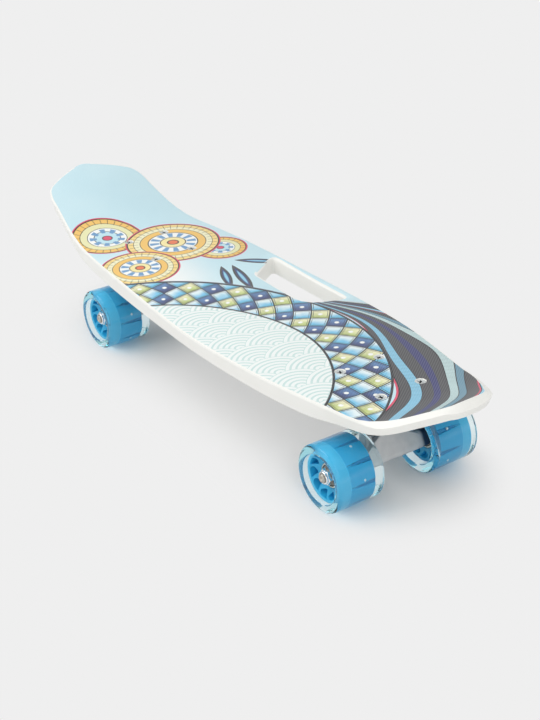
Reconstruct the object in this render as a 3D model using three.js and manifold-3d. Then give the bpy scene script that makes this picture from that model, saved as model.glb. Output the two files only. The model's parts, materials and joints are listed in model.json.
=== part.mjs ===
// Cruiser skateboard: a moulded plastic deck with a kicked tail and a hand slot,
// on two cast trucks with four cored wheels. Millimetres, +Z up, +X towards the nose,
// +Y on the side of the hand slot. The origin is the middle of the board's plan,
// on the ground.
import * as THREE from 'three';
import * as BufferGeometryUtils from 'three/addons/utils/BufferGeometryUtils.js';
import Module from 'manifold-3d';

const wasm = await Module();
wasm.setup();

// Driving dimensions of the whole board.
const deckLength = 627;
const deckWidth = 165;
const noseReach = 290; // from midway between the axles to the nose
const wheelbase = 377;
const wheelDiameter = 60;
const truckHeight = 52; // from the axle's centre to the face under the deck

// General clearances.
const seatGap = 0.3; // between pieces that touch on the real board
const overrun = 5; // how far every cut runs past the piece it cuts

// Deck: top face, rim and edges.
const padThickness = 14; // the deck at the trucks, which the bolts go through
const rimDepth = 17.6;
const noseRimDepth = 11.6;
const noseRimLead = 50; // how far before the nose's bend the rim starts to get shallower
const noseRimRun = 60;
const tailRimDepth = 13;
const skinThickness = 4.5;
const wallThickness = 4;
const wallDraft = 2.5;
const edgeRound = 1.8;
const noseBevelReach = 6.2;
const noseBevelDrop = 5;
const noseBevelLength = 68; // of the bevel, back from the nose along the board
const noseBevelRun = 24; // length over which the side edge turns into the bevel
const noseBendRadius = 108;
const noseAngle = THREE.MathUtils.degToRad(28);
const tailBendRadius = 150;
const tailAngle = THREE.MathUtils.degToRad(23.5);
const sagDepth = 2.5; // the dip of the top face between the trucks
const sagReach = 140;

// Deck: half its outline from the nose to the tail, as shares of the reach to that
// end and of half the width.
const outlineShares = [
  [1, 0],
  [0.992, 0.206],
  [0.967, 0.333],
  [0.928, 0.446],
  [0.885, 0.57],
  [0.833, 0.679],
  [0.69, 0.778],
  [0.552, 0.865],
  [0.414, 0.937],
  [0.241, 0.982],
  [0.034, 1],
  [-0.134, 0.977],
  [-0.326, 0.933],
  [-0.504, 0.875],
  [-0.682, 0.788],
  [-0.846, 0.695],
  [-0.899, 0.667],
  [-0.932, 0.604],
  [-0.955, 0.473],
  [-0.982, 0.242],
  [-0.996, 0.085],
  [-1, 0],
];
const outlineSteps = 4; // points on each span of the outline
const hollowSteps = 1; // the same for the hollow under the skin

// Deck: the hand slot, a four-cornered hole with slanted ends.
const slotLength = 120; // along the side next to the handle
const slotWidth = 34.5;
const slotShift = -22; // of the slot's middle from midway between the axles
const slotTailSlant = 24;
const slotNoseSlant = 18;
const slotTailCorner = 8;
const slotNoseCorner = 26;
const slotHandleCorner = 4;
const handleWidth = 10.5;
const slotLip = 3; // radius of the slot's rounded lip
const cornerSteps = 3;
const slotDivisions = 4; // of the slot's long sides, which follow the dip of the top face

// Deck: crossed ribs under the skin, and the pads that the trucks bolt to.
const ribPitch = 60;
const ribThickness = 2.4;
const ribRecess = 2; // how far the ribs stay behind the rim's lower edge
const padMargin = 5;
const padClearance = 1;

// Trucks: base plate and bolts.
const boltPatternLength = 54;
const boltPatternWidth = 41.3;
const boltDiameter = 4.8;
const boltLength = 27;
const boltHeadDiameter = 9.6;
const boltHeadDepth = 2.7;
const boltHeadLand = 0.5;
const boltClearance = 0.3;
const boltFacets = 8;
const locknutAcrossFlats = 9.5;
const locknutHeight = 5;
const axleOffset = 12; // of the axle from the middle of the bolt pattern, outwards
const plateLength = 78;
const plateWidth = 57;
const plateThickness = 6;
const plateCorner = 8;
const ridgeWidth = 9;
const ridgeDepth = 3;

// Trucks: the steering axis, through the ring's centre and the pivot.
const pivotTilt = THREE.MathUtils.degToRad(26);
const ringSetback = 14; // of the ring's centre from the middle of the bolt pattern, inwards
const ringDrop = 29; // of the ring's centre below the deck's face
const pivotReach = 37; // from the ring's centre to the middle of the pivot's seat

// Trucks: the stack on the kingpin.
const kingpinDiameter = 10;
const kingpinHeadAcrossFlats = 14;
const kingpinHeadHeight = 5.7;
const kingpinTail = 2;
const kingpinFacets = 12;
const seatThickness = 4.5;
const seatDiameter = 26;
const headPocketClearance = 0.8;
const stackClearance = 1.5; // round the bushings, so that they can bulge
const ringThickness = 8;
const ringDiameter = 31;
const ringBore = 16;
const bushingDiameter = 24;
const bushingTipDiameter = 19;
const upperBushingHeight = 12.4;
const lowerBushingHeight = 9.7;
const bushingFacets = 16;
const washerDiameter = 23;
const washerThickness = 1.5;
const kingpinNutAcrossFlats = 15;
const kingpinNutHeight = 8;

// Trucks: pivot and pivot cup.
const pivotDiameter = 11;
const pivotLength = 12.5; // of its straight end, which reaches out of the cup's mouth
const pivotRootDiameter = 15;
const pivotTipShare = 0.45;
const cupWall = 2.2;
const cupFloor = 1;
const cupLength = 14;
const cupBossWall = 3.2;
const pivotFacets = 12;

// Trucks: hanger casting and axle.
const hangerLength = 76.2;
const housingSize = 15;
const housingCorner = 4;
const webThickness = 7;
const webShoulderShares = [0.8, 0.44, 0.2]; // of half the hanger's length
const webShoulderHeights = [5, 12.5, 17.5]; // above the axle's centre
const webTopHeight = 36.5;
const yokeThickness = 4.5;
const yokeTopSpread = 12.5;
const yokeFootSpread = 21;
const yokeStart = 2;
const axleDiameter = 8;
const axleEnd = 1.5; // how far the axle stands out of its nuts
const axleFacets = 12;

// Wheels, with sizes along the axle counted outwards from the hanger's end.
const bearingDiameter = 22;
const bearingWidth = 7;
const bearingGap = 10;
const bearingClearance = 0.1;
const bearingFacets = 14;
const shieldOuterShare = 0.86; // of the bearing's radius
const shieldInnerShare = 0.54;
const shieldDepth = 0.5;
const spacerDiameter = 16;
const spacerBoreClearance = 0.3;
const hubShoulder = 2;
const wheelWidth = 46.4;
const wheelOverlap = 10.9; // how far the wheel reaches in over the hanger's end
const treadShoulder = 3;
const treadRound = 0.8;
const faceWidth = 3; // from the tread's radius to the flat of the side face
const lipDepth = 4; // clear tyre outside the drum
const innerLipDepth = 8;
const tyreThickness = 3.2;
const faceRadius = 22; // of the core's face inside the tyre
const faceRecess = 1.4; // of that face's rim behind the drum's end
const faceRimWidth = 1.8;
const hubMouthRadius = 12.6;
const hubMouthRise = 0.4; // of the hub's mouth over the bearing
const tyreFacets = 28;
const coreFacets = 16;
const pocketCount = 10;
const pocketDepth = 8.5; // below the rim of the face
const pocketOuterMargin = 0.6;
const pocketInnerMargin = 1.2;
const pocketWidth = THREE.MathUtils.degToRad(24);
const pocketTipWidth = THREE.MathUtils.degToRad(7);
const pocketSweep = THREE.MathUtils.degToRad(12);
const axleNutAcrossFlats = 12.7;
const axleNutHeight = 6.5;
const nutFacets = 12;

// Places that follow from the sizes above.
const tailReach = deckLength - noseReach;
const halfWidth = deckWidth / 2;
const wheelRadius = wheelDiameter / 2;
const axleHeight = wheelRadius * Math.cos(Math.PI / tyreFacets);
const mountHeight = axleHeight + truckHeight;
const deckTop = mountHeight + padThickness;
const patternReach = wheelbase / 2 - axleOffset;
const flatReach = patternReach + boltPatternLength / 2 + boltHeadDiameter / 2;
const hangerHalf = hangerLength / 2;
const ringHalf = ringThickness / 2;
const seatLevel = ringHalf + seatGap + upperBushingHeight + seatGap;
const headLevel = seatLevel + seatThickness;
const washerLevel = -ringHalf - seatGap - lowerBushingHeight - seatGap;
const kingpinNutLevel = washerLevel - washerThickness - seatGap;
const axleAcross = axleOffset + ringSetback;
const axleBelow = truckHeight - ringDrop;
const axleAlongTilt = axleAcross * Math.cos(pivotTilt) - axleBelow * Math.sin(pivotTilt);
const axleUnderTilt = axleAcross * Math.sin(pivotTilt) + axleBelow * Math.cos(pivotTilt);
const innerBearingStart = 2 * seatGap;
const spacerStart = innerBearingStart + bearingWidth;
const outerBearingStart = spacerStart + bearingGap;
const axleNutStart = outerBearingStart + bearingWidth + seatGap;
const tyreStart = -wheelOverlap;
const tyreEnd = wheelWidth - wheelOverlap;
const drumStart = tyreStart + innerLipDepth;
const drumEnd = tyreEnd - lipDepth;
const drumRadius = wheelRadius - tyreThickness - seatGap;

// Materials, one for each finish.
function finish(color, roughness, metalness) {
  return new THREE.MeshStandardMaterial({ color, roughness, metalness });
}
const deckPlastic = finish(0xeeeeea, 0.5, 0);
const castMetal = finish(0xb9babc, 0.55, 0.8);
const brightSteel = finish(0xcfd2d6, 0.25, 1);
const zincSteel = finish(0x9ea2a6, 0.4, 1);
const bushingRubber = finish(0x16305c, 0.6, 0);
const cupPlastic = finish(0x202226, 0.6, 0);
const clearTyre = finish(0x9fd4ec, 0.15, 0);
const corePlastic = finish(0x2f9ae0, 0.35, 0);
const magnetMetal = finish(0x5c5f63, 0.45, 0.9);

// A closed geometry as a solid: shared corners merged, faces without area dropped.
function toSolid(geometry) {
  const bare = geometry.clone();
  bare.deleteAttribute('normal');
  bare.deleteAttribute('uv');
  const merged = BufferGeometryUtils.mergeVertices(bare);
  const corners = merged.index.array;
  const kept = [];
  for (let i = 0; i < corners.length; i += 3) {
    const [a, b, c] = [corners[i], corners[i + 1], corners[i + 2]];
    if (a !== b && b !== c && c !== a) {
      kept.push(a, b, c);
    }
  }
  const mesh = new wasm.Mesh({
    numProp: 3,
    vertProperties: new Float32Array(merged.attributes.position.array),
    triVerts: new Uint32Array(kept),
  });
  return new wasm.Manifold(mesh);
}

// A solid back as a geometry.
function toGeometry(solid) {
  const mesh = solid.getMesh();
  const geometry = new THREE.BufferGeometry();
  geometry.setAttribute('position', new THREE.BufferAttribute(mesh.vertProperties, mesh.numProp));
  geometry.setIndex(new THREE.BufferAttribute(mesh.triVerts, 1));
  geometry.computeVertexNormals();
  return geometry;
}

function joinAll(solids) {
  return solids.reduce((whole, solid) => whole.add(solid));
}

function named(name, geometry, material) {
  const mesh = new THREE.Mesh(geometry, material);
  mesh.name = name;
  return mesh;
}

// A profile of [radius, height] corners turned about the Y axis. Its first flat
// faces straight down, so a wheel rests on a flat and not on a ridge.
function turned(profile, facets) {
  const points = profile.map(([radius, height]) => new THREE.Vector2(radius, height));
  return new THREE.LatheGeometry(points, facets, Math.PI / facets, 2 * Math.PI);
}

// The same about the Z axis, with heights along +Z.
function turnedUpright(profile, facets) {
  return turned(profile, facets).rotateX(Math.PI / 2);
}

// A closed ring of rectangular section between two heights.
function ringProfile(innerRadius, outerRadius, low, high) {
  return [
    [innerRadius, low],
    [outerRadius, low],
    [outerRadius, high],
    [innerRadius, high],
    [innerRadius, low],
  ];
}

// A solid rod along the Y axis between two heights.
function rodProfile(radius, low, high) {
  return [
    [0, low],
    [radius, low],
    [radius, high],
    [0, high],
  ];
}

// A closed outline through corners, each rounded by its own radius.
function roundedShape(corners) {
  const shape = new THREE.Shape();
  corners.forEach(([x, y, radius], i) => {
    const here = new THREE.Vector2(x, y);
    const [beforeX, beforeY] = corners.at(i - 1);
    const [afterX, afterY] = corners[(i + 1) % corners.length];
    const back = new THREE.Vector2(beforeX, beforeY).sub(here).normalize();
    const ahead = new THREE.Vector2(afterX, afterY).sub(here).normalize();
    const turn = Math.acos(THREE.MathUtils.clamp(back.dot(ahead), -1, 1));
    const cut = radius / Math.tan(turn / 2);
    const start = here.clone().addScaledVector(back, cut);
    const end = here.clone().addScaledVector(ahead, cut);
    if (i === 0) {
      shape.moveTo(start.x, start.y);
    } else {
      shape.lineTo(start.x, start.y);
    }
    shape.quadraticCurveTo(here.x, here.y, end.x, end.y);
  });
  shape.closePath();
  return shape;
}

// A shape in X and Y, extruded from one height to another.
function extruded(shape, low, high, steps) {
  const options = { depth: high - low, bevelEnabled: false, curveSegments: steps };
  return new THREE.ExtrudeGeometry(shape, options).translate(0, 0, low);
}

// How far a hexagon's corners reach from its middle.
function hexReach(acrossFlats) {
  return acrossFlats / 2 / Math.cos(Math.PI / 6);
}

// A hexagon across its flats, with a round hole, extruded from one height to another.
function hexNut(acrossFlats, boreRadius, low, high, facets) {
  const reach = hexReach(acrossFlats);
  const corners = [];
  for (let i = 0; i < 6; i += 1) {
    const angle = (i * Math.PI) / 3;
    corners.push(new THREE.Vector2(reach * Math.cos(angle), reach * Math.sin(angle)));
  }
  const shape = new THREE.Shape(corners);
  const hole = [];
  for (let i = 0; i < facets; i += 1) {
    const angle = (-i * 2 * Math.PI) / facets;
    hole.push(new THREE.Vector2(boreRadius * Math.cos(angle), boreRadius * Math.sin(angle)));
  }
  shape.holes.push(new THREE.Path(hole));
  return extruded(shape, low, high, 1);
}

function block(sizeX, sizeY, low, high) {
  const height = high - low;
  return new THREE.BoxGeometry(sizeX, sizeY, height).translate(0, 0, low + height / 2);
}

// How high a bent end has risen, a distance past the start of its bend.
function kickRise(distance, radius, angle) {
  if (distance <= 0) {
    return 0;
  }
  const bendRun = radius * Math.sin(angle);
  if (distance < bendRun) {
    return radius - Math.sqrt(radius * radius - distance * distance);
  }
  return radius * (1 - Math.cos(angle)) + (distance - bendRun) * Math.tan(angle);
}

function endRise(x) {
  const nose = kickRise(x - flatReach, noseBendRadius, noseAngle);
  const tail = kickRise(-x - flatReach, tailBendRadius, tailAngle);
  return nose + tail;
}

// Height of the deck's top face.
function topHeight(x) {
  const share = Math.min(Math.abs(x) / sagReach, 1);
  const sag = sagDepth * Math.cos((share * Math.PI) / 2) ** 2;
  return deckTop - sag + endRise(x);
}

// Height that the deck's edges follow, which stays level past the top face's own end.
function edgeHeight(x) {
  return topHeight(Math.min(x, noseReach - noseBevelReach));
}

// Height of the rim's lower edge.
function rimHeight(x) {
  const start = flatReach - noseRimLead;
  const towardsNose = THREE.MathUtils.smoothstep(x, start, start + noseRimRun);
  const towardsTail = THREE.MathUtils.smoothstep(-x, flatReach, tailReach);
  const middle = THREE.MathUtils.lerp(rimDepth, noseRimDepth, towardsNose);
  const depth = THREE.MathUtils.lerp(middle, tailRimDepth, towardsTail);
  const rise = endRise(Math.min(x, noseReach - noseBevelReach));
  return deckTop - depth + rise;
}

// The deck's outline as a closed loop, which starts at the nose and goes round by
// the slot's side. Point i and point count - i mirror each other.
function outlineLoop(steps) {
  const half = outlineShares.map(([reachShare, widthShare]) => {
    const reach = reachShare > 0 ? noseReach : tailReach;
    return new THREE.Vector3(reachShare * reach, widthShare * halfWidth, 0);
  });
  const mirrored = half.slice(1, -1).reverse();
  const whole = half.concat(mirrored.map((p) => new THREE.Vector3(p.x, -p.y, 0)));
  const curve = new THREE.CatmullRomCurve3(whole, true, 'centripetal');
  const halfCount = (whole.length / 2) * steps;
  const side = [];
  for (let i = 0; i <= halfCount; i += 1) {
    const point = curve.getPoint(i / (2 * halfCount));
    side.push(new THREE.Vector2(point.x, point.y));
  }
  side[0].y = 0;
  side[halfCount].y = 0;
  const other = side.slice(1, -1).reverse();
  return side.concat(other.map((p) => new THREE.Vector2(p.x, -p.y)));
}

// A loop moved inwards, each point by its own distance.
function insetLoop(loop, distance) {
  return loop.map((point, i) => {
    const before = loop.at(i - 1);
    const after = loop[(i + 1) % loop.length];
    const along = after.clone().sub(before).normalize();
    const shift = distance(point);
    return new THREE.Vector2(point.x - along.y * shift, point.y + along.x * shift);
  });
}

// A closed body between loops that lie over each other. Its two end faces are strips
// from one side of the board to the other, so that they follow the height of the deck.
function deckBody(steps, rings) {
  const outline = outlineLoop(steps);
  const count = outline.length;
  const positions = [];
  for (const { inset, height } of rings) {
    for (const [i, point] of insetLoop(outline, inset).entries()) {
      positions.push(point.x, point.y, height(point.x, outline[i]));
    }
  }
  const faces = wallFaces(count, rings.length);
  const last = (rings.length - 1) * count;
  for (let i = 0; i < count / 2; i += 1) {
    const mirror = (count - i) % count;
    const mirrorNext = count - i - 1;
    faces.push(last + mirror, last + i, last + i + 1);
    faces.push(last + mirror, last + i + 1, last + mirrorNext);
    faces.push(mirror, i + 1, i);
    faces.push(mirror, mirrorNext, i + 1);
  }
  return toSolid(indexed(positions, faces));
}

function indexed(positions, faces) {
  const geometry = new THREE.BufferGeometry();
  geometry.setAttribute('position', new THREE.Float32BufferAttribute(positions, 3));
  geometry.setIndex(faces);
  return geometry;
}

// The faces between loops of as many corners each, listed one loop after the other.
function wallFaces(count, loopCount) {
  const faces = [];
  for (let loop = 0; loop < loopCount - 1; loop += 1) {
    for (let i = 0; i < count; i += 1) {
      const low = loop * count + i;
      const lowNext = loop * count + ((i + 1) % count);
      faces.push(low, lowNext, lowNext + count);
      faces.push(low, lowNext + count, low + count);
    }
  }
  return faces;
}

// The moulding's outside: a wall with draft, a rounded top edge that opens into the
// bevel of the nose, and the top face.
function deckOutside() {
  const start = noseReach - noseBevelLength;
  const towardsNose = (point) => THREE.MathUtils.smoothstep(point.x, start, start + noseBevelRun);
  const reach = (point) => THREE.MathUtils.lerp(edgeRound, noseBevelReach, towardsNose(point));
  const drop = (point) => THREE.MathUtils.lerp(edgeRound, noseBevelDrop, towardsNose(point));
  const midway = 1 - Math.SQRT1_2;
  const sink = (point) => THREE.MathUtils.lerp(midway, Math.SQRT1_2, towardsNose(point)) * drop(point);
  return deckBody(outlineSteps, [
    { inset: () => wallDraft, height: (x) => rimHeight(x) },
    { inset: () => 0, height: (x, point) => edgeHeight(x) - drop(point) },
    { inset: (point) => midway * reach(point), height: (x, point) => edgeHeight(x) - sink(point) },
    { inset: reach, height: (x) => topHeight(x) },
  ]);
}

// The space inside the walls, from below the rim up to a height under the top face.
function deckInside(ceiling) {
  const inset = () => wallThickness + wallDraft;
  return deckBody(hollowSteps, [
    { inset, height: (x) => rimHeight(x) - overrun },
    { inset, height: ceiling },
  ]);
}

function slotShape(grow) {
  const handleSide = halfWidth - handleWidth + grow;
  const innerSide = halfWidth - handleWidth - slotWidth - grow;
  const tail = slotShift - slotLength / 2 - grow;
  const nose = slotShift + slotLength / 2 + grow;
  return roundedShape([
    [tail + slotTailSlant, innerSide, slotTailCorner + grow],
    [nose - slotNoseSlant, innerSide, slotNoseCorner + grow],
    [nose, handleSide, slotHandleCorner + grow],
    [tail, handleSide, slotHandleCorner + grow],
  ]);
}

// The slot's outline as a loop, its long sides divided. Which sides are long is
// decided on the slot itself, so that every grown loop has as many corners.
function slotLoop(grow) {
  const own = slotShape(0).getPoints(cornerSteps);
  const corners = slotShape(grow).getPoints(cornerSteps);
  const loop = [];
  corners.slice(0, -1).forEach((corner, i) => {
    const long = own[i].distanceTo(own[i + 1]) > slotWidth;
    const divisions = long ? slotDivisions : 1;
    for (let k = 0; k < divisions; k += 1) {
      loop.push(corner.clone().lerp(corners[i + 1], k / divisions));
    }
  });
  return loop;
}

// The cut for the slot: upright walls that flare into a round lip at the top face.
function slotCut(low) {
  const [lowShare, highShare] = [1 - Math.cos(Math.PI / 6), 1 - Math.cos(Math.PI / 3)];
  const levels = [
    [0, () => low],
    [0, (x) => topHeight(x) - slotLip],
    [lowShare * slotLip, (x) => topHeight(x) - highShare * slotLip],
    [highShare * slotLip, (x) => topHeight(x) - lowShare * slotLip],
    [(2 - highShare) * slotLip, (x) => topHeight(x) + lowShare * slotLip],
    [(2 - highShare) * slotLip, (x) => topHeight(x) + overrun],
  ];
  const loops = levels.map(([grow, height]) => {
    return slotLoop(grow).map(({ x, y }) => new THREE.Vector3(x, y, height(x)));
  });
  const count = loops[0].length;
  const faces = wallFaces(count, loops.length);
  const last = (loops.length - 1) * count;
  for (const [a, b, c] of THREE.ShapeUtils.triangulateShape(slotLoop(0), [])) {
    faces.push(c, b, a, last + a, last + b, last + c);
  }
  const positions = loops.flat().flatMap((point) => point.toArray());
  return toSolid(indexed(positions, faces));
}

// Two sets of parallel ribs that cross at right angles, slanted to the board.
function deckRibs(low, high) {
  const reach = Math.max(noseReach, tailReach);
  const count = Math.ceil((reach + halfWidth) / ribPitch);
  const length = 2 * deckWidth;
  const ribs = [];
  for (const side of [1, -1]) {
    for (let i = -count; i <= count; i += 1) {
      const rib = block(length, ribThickness, low, high).rotateZ((side * Math.PI) / 4);
      ribs.push(toSolid(rib.translate((i + 1 / 2) * ribPitch, 0, 0)));
    }
  }
  return joinAll(ribs);
}

// The holes for the truck bolts, each with a countersink for its head.
function boltHoles() {
  const radius = boltDiameter / 2 + boltClearance;
  const headRadius = boltHeadDiameter / 2 + boltClearance;
  const coneTop = deckTop - boltHeadLand + boltClearance;
  const profile = [
    [0, mountHeight - overrun],
    [radius, mountHeight - overrun],
    [radius, coneTop - boltHeadDepth],
    [headRadius, coneTop],
    [headRadius, deckTop + overrun],
    [0, deckTop + overrun],
  ];
  const holes = [];
  for (const [x, y] of boltPlaces()) {
    holes.push(toSolid(turnedUpright(profile, boltFacets).translate(x, y, 0)));
  }
  return joinAll(holes);
}

// The eight bolts' places in the plan, front truck first.
function boltPlaces() {
  const places = [];
  for (const end of [1, -1]) {
    for (const along of [1, -1]) {
      for (const side of [1, -1]) {
        const x = end * (patternReach + (along * boltPatternLength) / 2);
        places.push([x, (side * boltPatternWidth) / 2]);
      }
    }
  }
  return places;
}

// The deck: the moulding with its ribbed hollow, truck pads, slot and bolt holes.
function deckGeometry() {
  const low = mountHeight - rimDepth - overrun;
  const high = topHeight(-tailReach) + overrun;
  const padLength = plateLength + 2 * padMargin;
  const padWidth = plateWidth + 2 * padMargin;
  const pocketLength = plateLength + 2 * padClearance;
  const pocketWide = plateWidth + 2 * padClearance;
  const pads = [1, -1].map((end) => {
    return toSolid(block(padLength, padWidth, low, high).translate(end * patternReach, 0, 0));
  });
  const padFaces = [1, -1].map((end) => {
    const cut = block(pocketLength, pocketWide, low, mountHeight);
    return toSolid(cut.translate(end * patternReach, 0, 0));
  });
  const collar = toSolid(extruded(slotShape(wallThickness + wallDraft), low, high, cornerSteps));
  const keep = joinAll([...pads, collar]);
  const pockets = deckInside((x) => topHeight(x) - skinThickness).subtract(deckRibs(low, high));
  const shallow = deckInside((x) => rimHeight(x) + ribRecess);
  const hollow = pockets.add(shallow).subtract(keep);
  const cuts = joinAll([hollow, slotCut(low), ...padFaces, boltHoles()]);
  return toGeometry(deckOutside().subtract(cuts));
}

// One truck bolt with a countersunk head, its shank down from the deck's top face.
function boltGeometry() {
  const radius = boltDiameter / 2;
  const headRadius = boltHeadDiameter / 2;
  const top = -boltHeadLand;
  return turnedUpright(
    [
      [0, top - boltLength],
      [radius, top - boltLength],
      [radius, top - boltHeadDepth],
      [headRadius, top],
      [0, top],
    ],
    boltFacets,
  );
}

function locknutGeometry() {
  const top = mountHeight - deckTop - plateThickness - seatGap;
  const bore = boltDiameter / 2 + boltClearance;
  return hexNut(locknutAcrossFlats, bore, top - locknutHeight, top, boltFacets);
}

// Turns a geometry from the steering frame, with its origin at the ring's centre, X
// along the steering axis and Z along the kingpin, into the truck's frame.
function fromTilt(geometry) {
  return geometry.rotateY(-pivotTilt).translate(-ringSetback, 0, -ringDrop);
}

// A profile turned about the steering axis, with heights along it.
function turnedAlongTilt(profile, facets) {
  return turned(profile, facets).rotateZ(-Math.PI / 2);
}

// Base plate: bolted plate, kingpin seat, pivot boss and the ridge between them.
function basePlateGeometry() {
  const halfLength = plateLength / 2;
  const halfPlate = plateWidth / 2;
  const outline = roundedShape([
    [-halfLength, -halfPlate, plateCorner],
    [halfLength, -halfPlate, plateCorner],
    [halfLength, halfPlate, plateCorner],
    [-halfLength, halfPlate, plateCorner],
  ]);
  const plate = toSolid(extruded(outline, -plateThickness, 0, cornerSteps));
  const seatTop = headLevel + kingpinHeadHeight + overrun;
  const seat = fromTilt(turnedUpright(rodProfile(seatDiameter / 2, seatLevel, seatTop), bushingFacets));
  const cupRadius = pivotDiameter / 2 + seatGap + cupWall;
  const cupMouth = pivotReach + cupFloor + pivotDiameter / 2 - cupLength;
  const bossEnd = cupMouth + cupLength + cupBossWall;
  const boss = fromTilt(
    turnedAlongTilt(rodProfile(cupRadius + cupBossWall, cupMouth, bossEnd), pivotFacets),
  );
  const ridgeLength = 2 * ringSetback;
  const ridge = block(ridgeLength, ridgeWidth, -plateThickness - ridgeDepth, -plateThickness / 2);
  const body = joinAll([plate, toSolid(seat), toSolid(boss), toSolid(ridge)]);
  const above = toSolid(block(2 * plateLength, 2 * plateWidth, 0, plateLength));
  const pinRadius = kingpinDiameter / 2 + seatGap;
  const pinHole = fromTilt(
    turnedUpright(rodProfile(pinRadius, seatLevel - overrun, headLevel + overrun), kingpinFacets),
  );
  const pocketRadius = hexReach(kingpinHeadAcrossFlats) + headPocketClearance;
  const headPocket = fromTilt(
    turnedUpright(rodProfile(pocketRadius, headLevel, headLevel + plateLength), kingpinFacets),
  );
  const cupHole = fromTilt(
    turnedAlongTilt(
      rodProfile(cupRadius + seatGap, cupMouth - overrun, cupMouth + cupLength + seatGap),
      pivotFacets,
    ),
  );
  const stackRadius = bushingDiameter / 2 + stackClearance;
  const stackSpace = fromTilt(
    turnedUpright(rodProfile(stackRadius, -seatLevel, seatLevel), bushingFacets),
  );
  const cuts = [above, toSolid(stackSpace), toSolid(pinHole), toSolid(headPocket), toSolid(cupHole)];
  const holeRadius = boltDiameter / 2 + boltClearance;
  for (const along of [1, -1]) {
    for (const side of [1, -1]) {
      const hole = turnedUpright(rodProfile(holeRadius, -plateLength, overrun), boltFacets);
      const x = (along * boltPatternLength) / 2;
      cuts.push(toSolid(hole.translate(x, (side * boltPatternWidth) / 2, 0)));
    }
  }
  return toGeometry(body.subtract(joinAll(cuts)));
}

// Pivot cup: a plastic thimble in the base plate's boss, open towards the ring.
function pivotCupGeometry() {
  const bore = pivotDiameter / 2 + seatGap;
  const outer = bore + cupWall;
  const mouth = pivotReach + cupFloor + pivotDiameter / 2 - cupLength;
  const end = mouth + cupLength;
  const profile = [
    [0, end - cupFloor],
    [bore, end - cupFloor],
    [bore, mouth + seatGap],
    [outer, mouth + seatGap],
    [outer, end],
    [0, end],
  ];
  return turnedAlongTilt(profile, pivotFacets);
}

// Kingpin: a bolt whose six-sided head sits in the base plate, its end under the nut.
function kingpinGeometry() {
  const radius = kingpinDiameter / 2;
  const low = kingpinNutLevel - kingpinNutHeight - kingpinTail;
  const headLow = headLevel + seatGap;
  const shank = turnedUpright(rodProfile(radius, low, headLow + kingpinHeadHeight / 2), kingpinFacets);
  const reach = hexReach(kingpinHeadAcrossFlats);
  const head = turnedUpright(rodProfile(reach, headLow, headLow + kingpinHeadHeight), 6);
  return toGeometry(toSolid(shank).add(toSolid(head)));
}

function kingpinNutGeometry() {
  const bore = kingpinDiameter / 2 + seatGap;
  const low = kingpinNutLevel - kingpinNutHeight;
  return hexNut(kingpinNutAcrossFlats, bore, low, kingpinNutLevel, kingpinFacets);
}

// The two bushings: a barrel above the hanger's ring and a cone below it.
function upperBushingGeometry() {
  const bore = kingpinDiameter / 2 + seatGap;
  const low = ringHalf + seatGap;
  const profile = ringProfile(bore, bushingDiameter / 2, low, low + upperBushingHeight);
  return turnedUpright(profile, bushingFacets);
}

function lowerBushingGeometry() {
  const bore = kingpinDiameter / 2 + seatGap;
  const high = -ringHalf - seatGap;
  const low = high - lowerBushingHeight;
  const profile = [
    [bore, low],
    [bushingTipDiameter / 2, low],
    [bushingDiameter / 2, high],
    [bore, high],
    [bore, low],
  ];
  return turnedUpright(profile, bushingFacets);
}

function washerGeometry() {
  const bore = kingpinDiameter / 2 + seatGap;
  const low = washerLevel - washerThickness;
  return turnedUpright(ringProfile(bore, washerDiameter / 2, low, washerLevel), bushingFacets);
}

// Hanger: axle housing, web, yoke arms, ring and pivot in one casting.
function hangerGeometry() {
  const halfHousing = housingSize / 2;
  const section = roundedShape([
    [-halfHousing, -halfHousing, housingCorner],
    [halfHousing, -halfHousing, housingCorner],
    [halfHousing, halfHousing, housingCorner],
    [-halfHousing, halfHousing, housingCorner],
  ]);
  const housing = extruded(section, -hangerHalf, hangerHalf, cornerSteps).rotateX(Math.PI / 2);
  housing.translate(axleAlongTilt, 0, -axleUnderTilt);
  const ring = turnedUpright(rodProfile(ringDiameter / 2, -ringHalf, ringHalf), bushingFacets);
  const bore = turnedUpright(rodProfile(ringBore / 2, -ringThickness, ringThickness), bushingFacets);
  const axleBore = axleDiameter / 2 + seatGap;
  const axleHole = turned(rodProfile(axleBore, -hangerLength, hangerLength), axleFacets);
  axleHole.translate(axleAlongTilt, 0, -axleUnderTilt);
  const body = joinAll([housing, ring, hangerWeb(), ...hangerYoke(), pivotStem()].map(toSolid));
  return toGeometry(body.subtract(toSolid(bore)).subtract(toSolid(axleHole)));
}

// The web across the board: broad at the housing, then a neck up to the pivot.
function hangerWeb() {
  const right = webShoulderShares.map((share, i) => {
    return [share * hangerHalf, webShoulderHeights[i] - axleUnderTilt];
  });
  right.push([webShoulderShares.at(-1) * hangerHalf, webTopHeight - axleUnderTilt]);
  const left = right.map(([y, z]) => [-y, z]).reverse();
  const foot = [
    [-webShoulderShares[0] * hangerHalf, -axleUnderTilt],
    [webShoulderShares[0] * hangerHalf, -axleUnderTilt],
  ];
  const shape = new THREE.Shape([...foot, ...right, ...left].map(([y, z]) => new THREE.Vector2(y, z)));
  const outer = axleAlongTilt + housingSize / 2;
  return standing(shape, outer - webThickness, outer);
}

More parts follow.
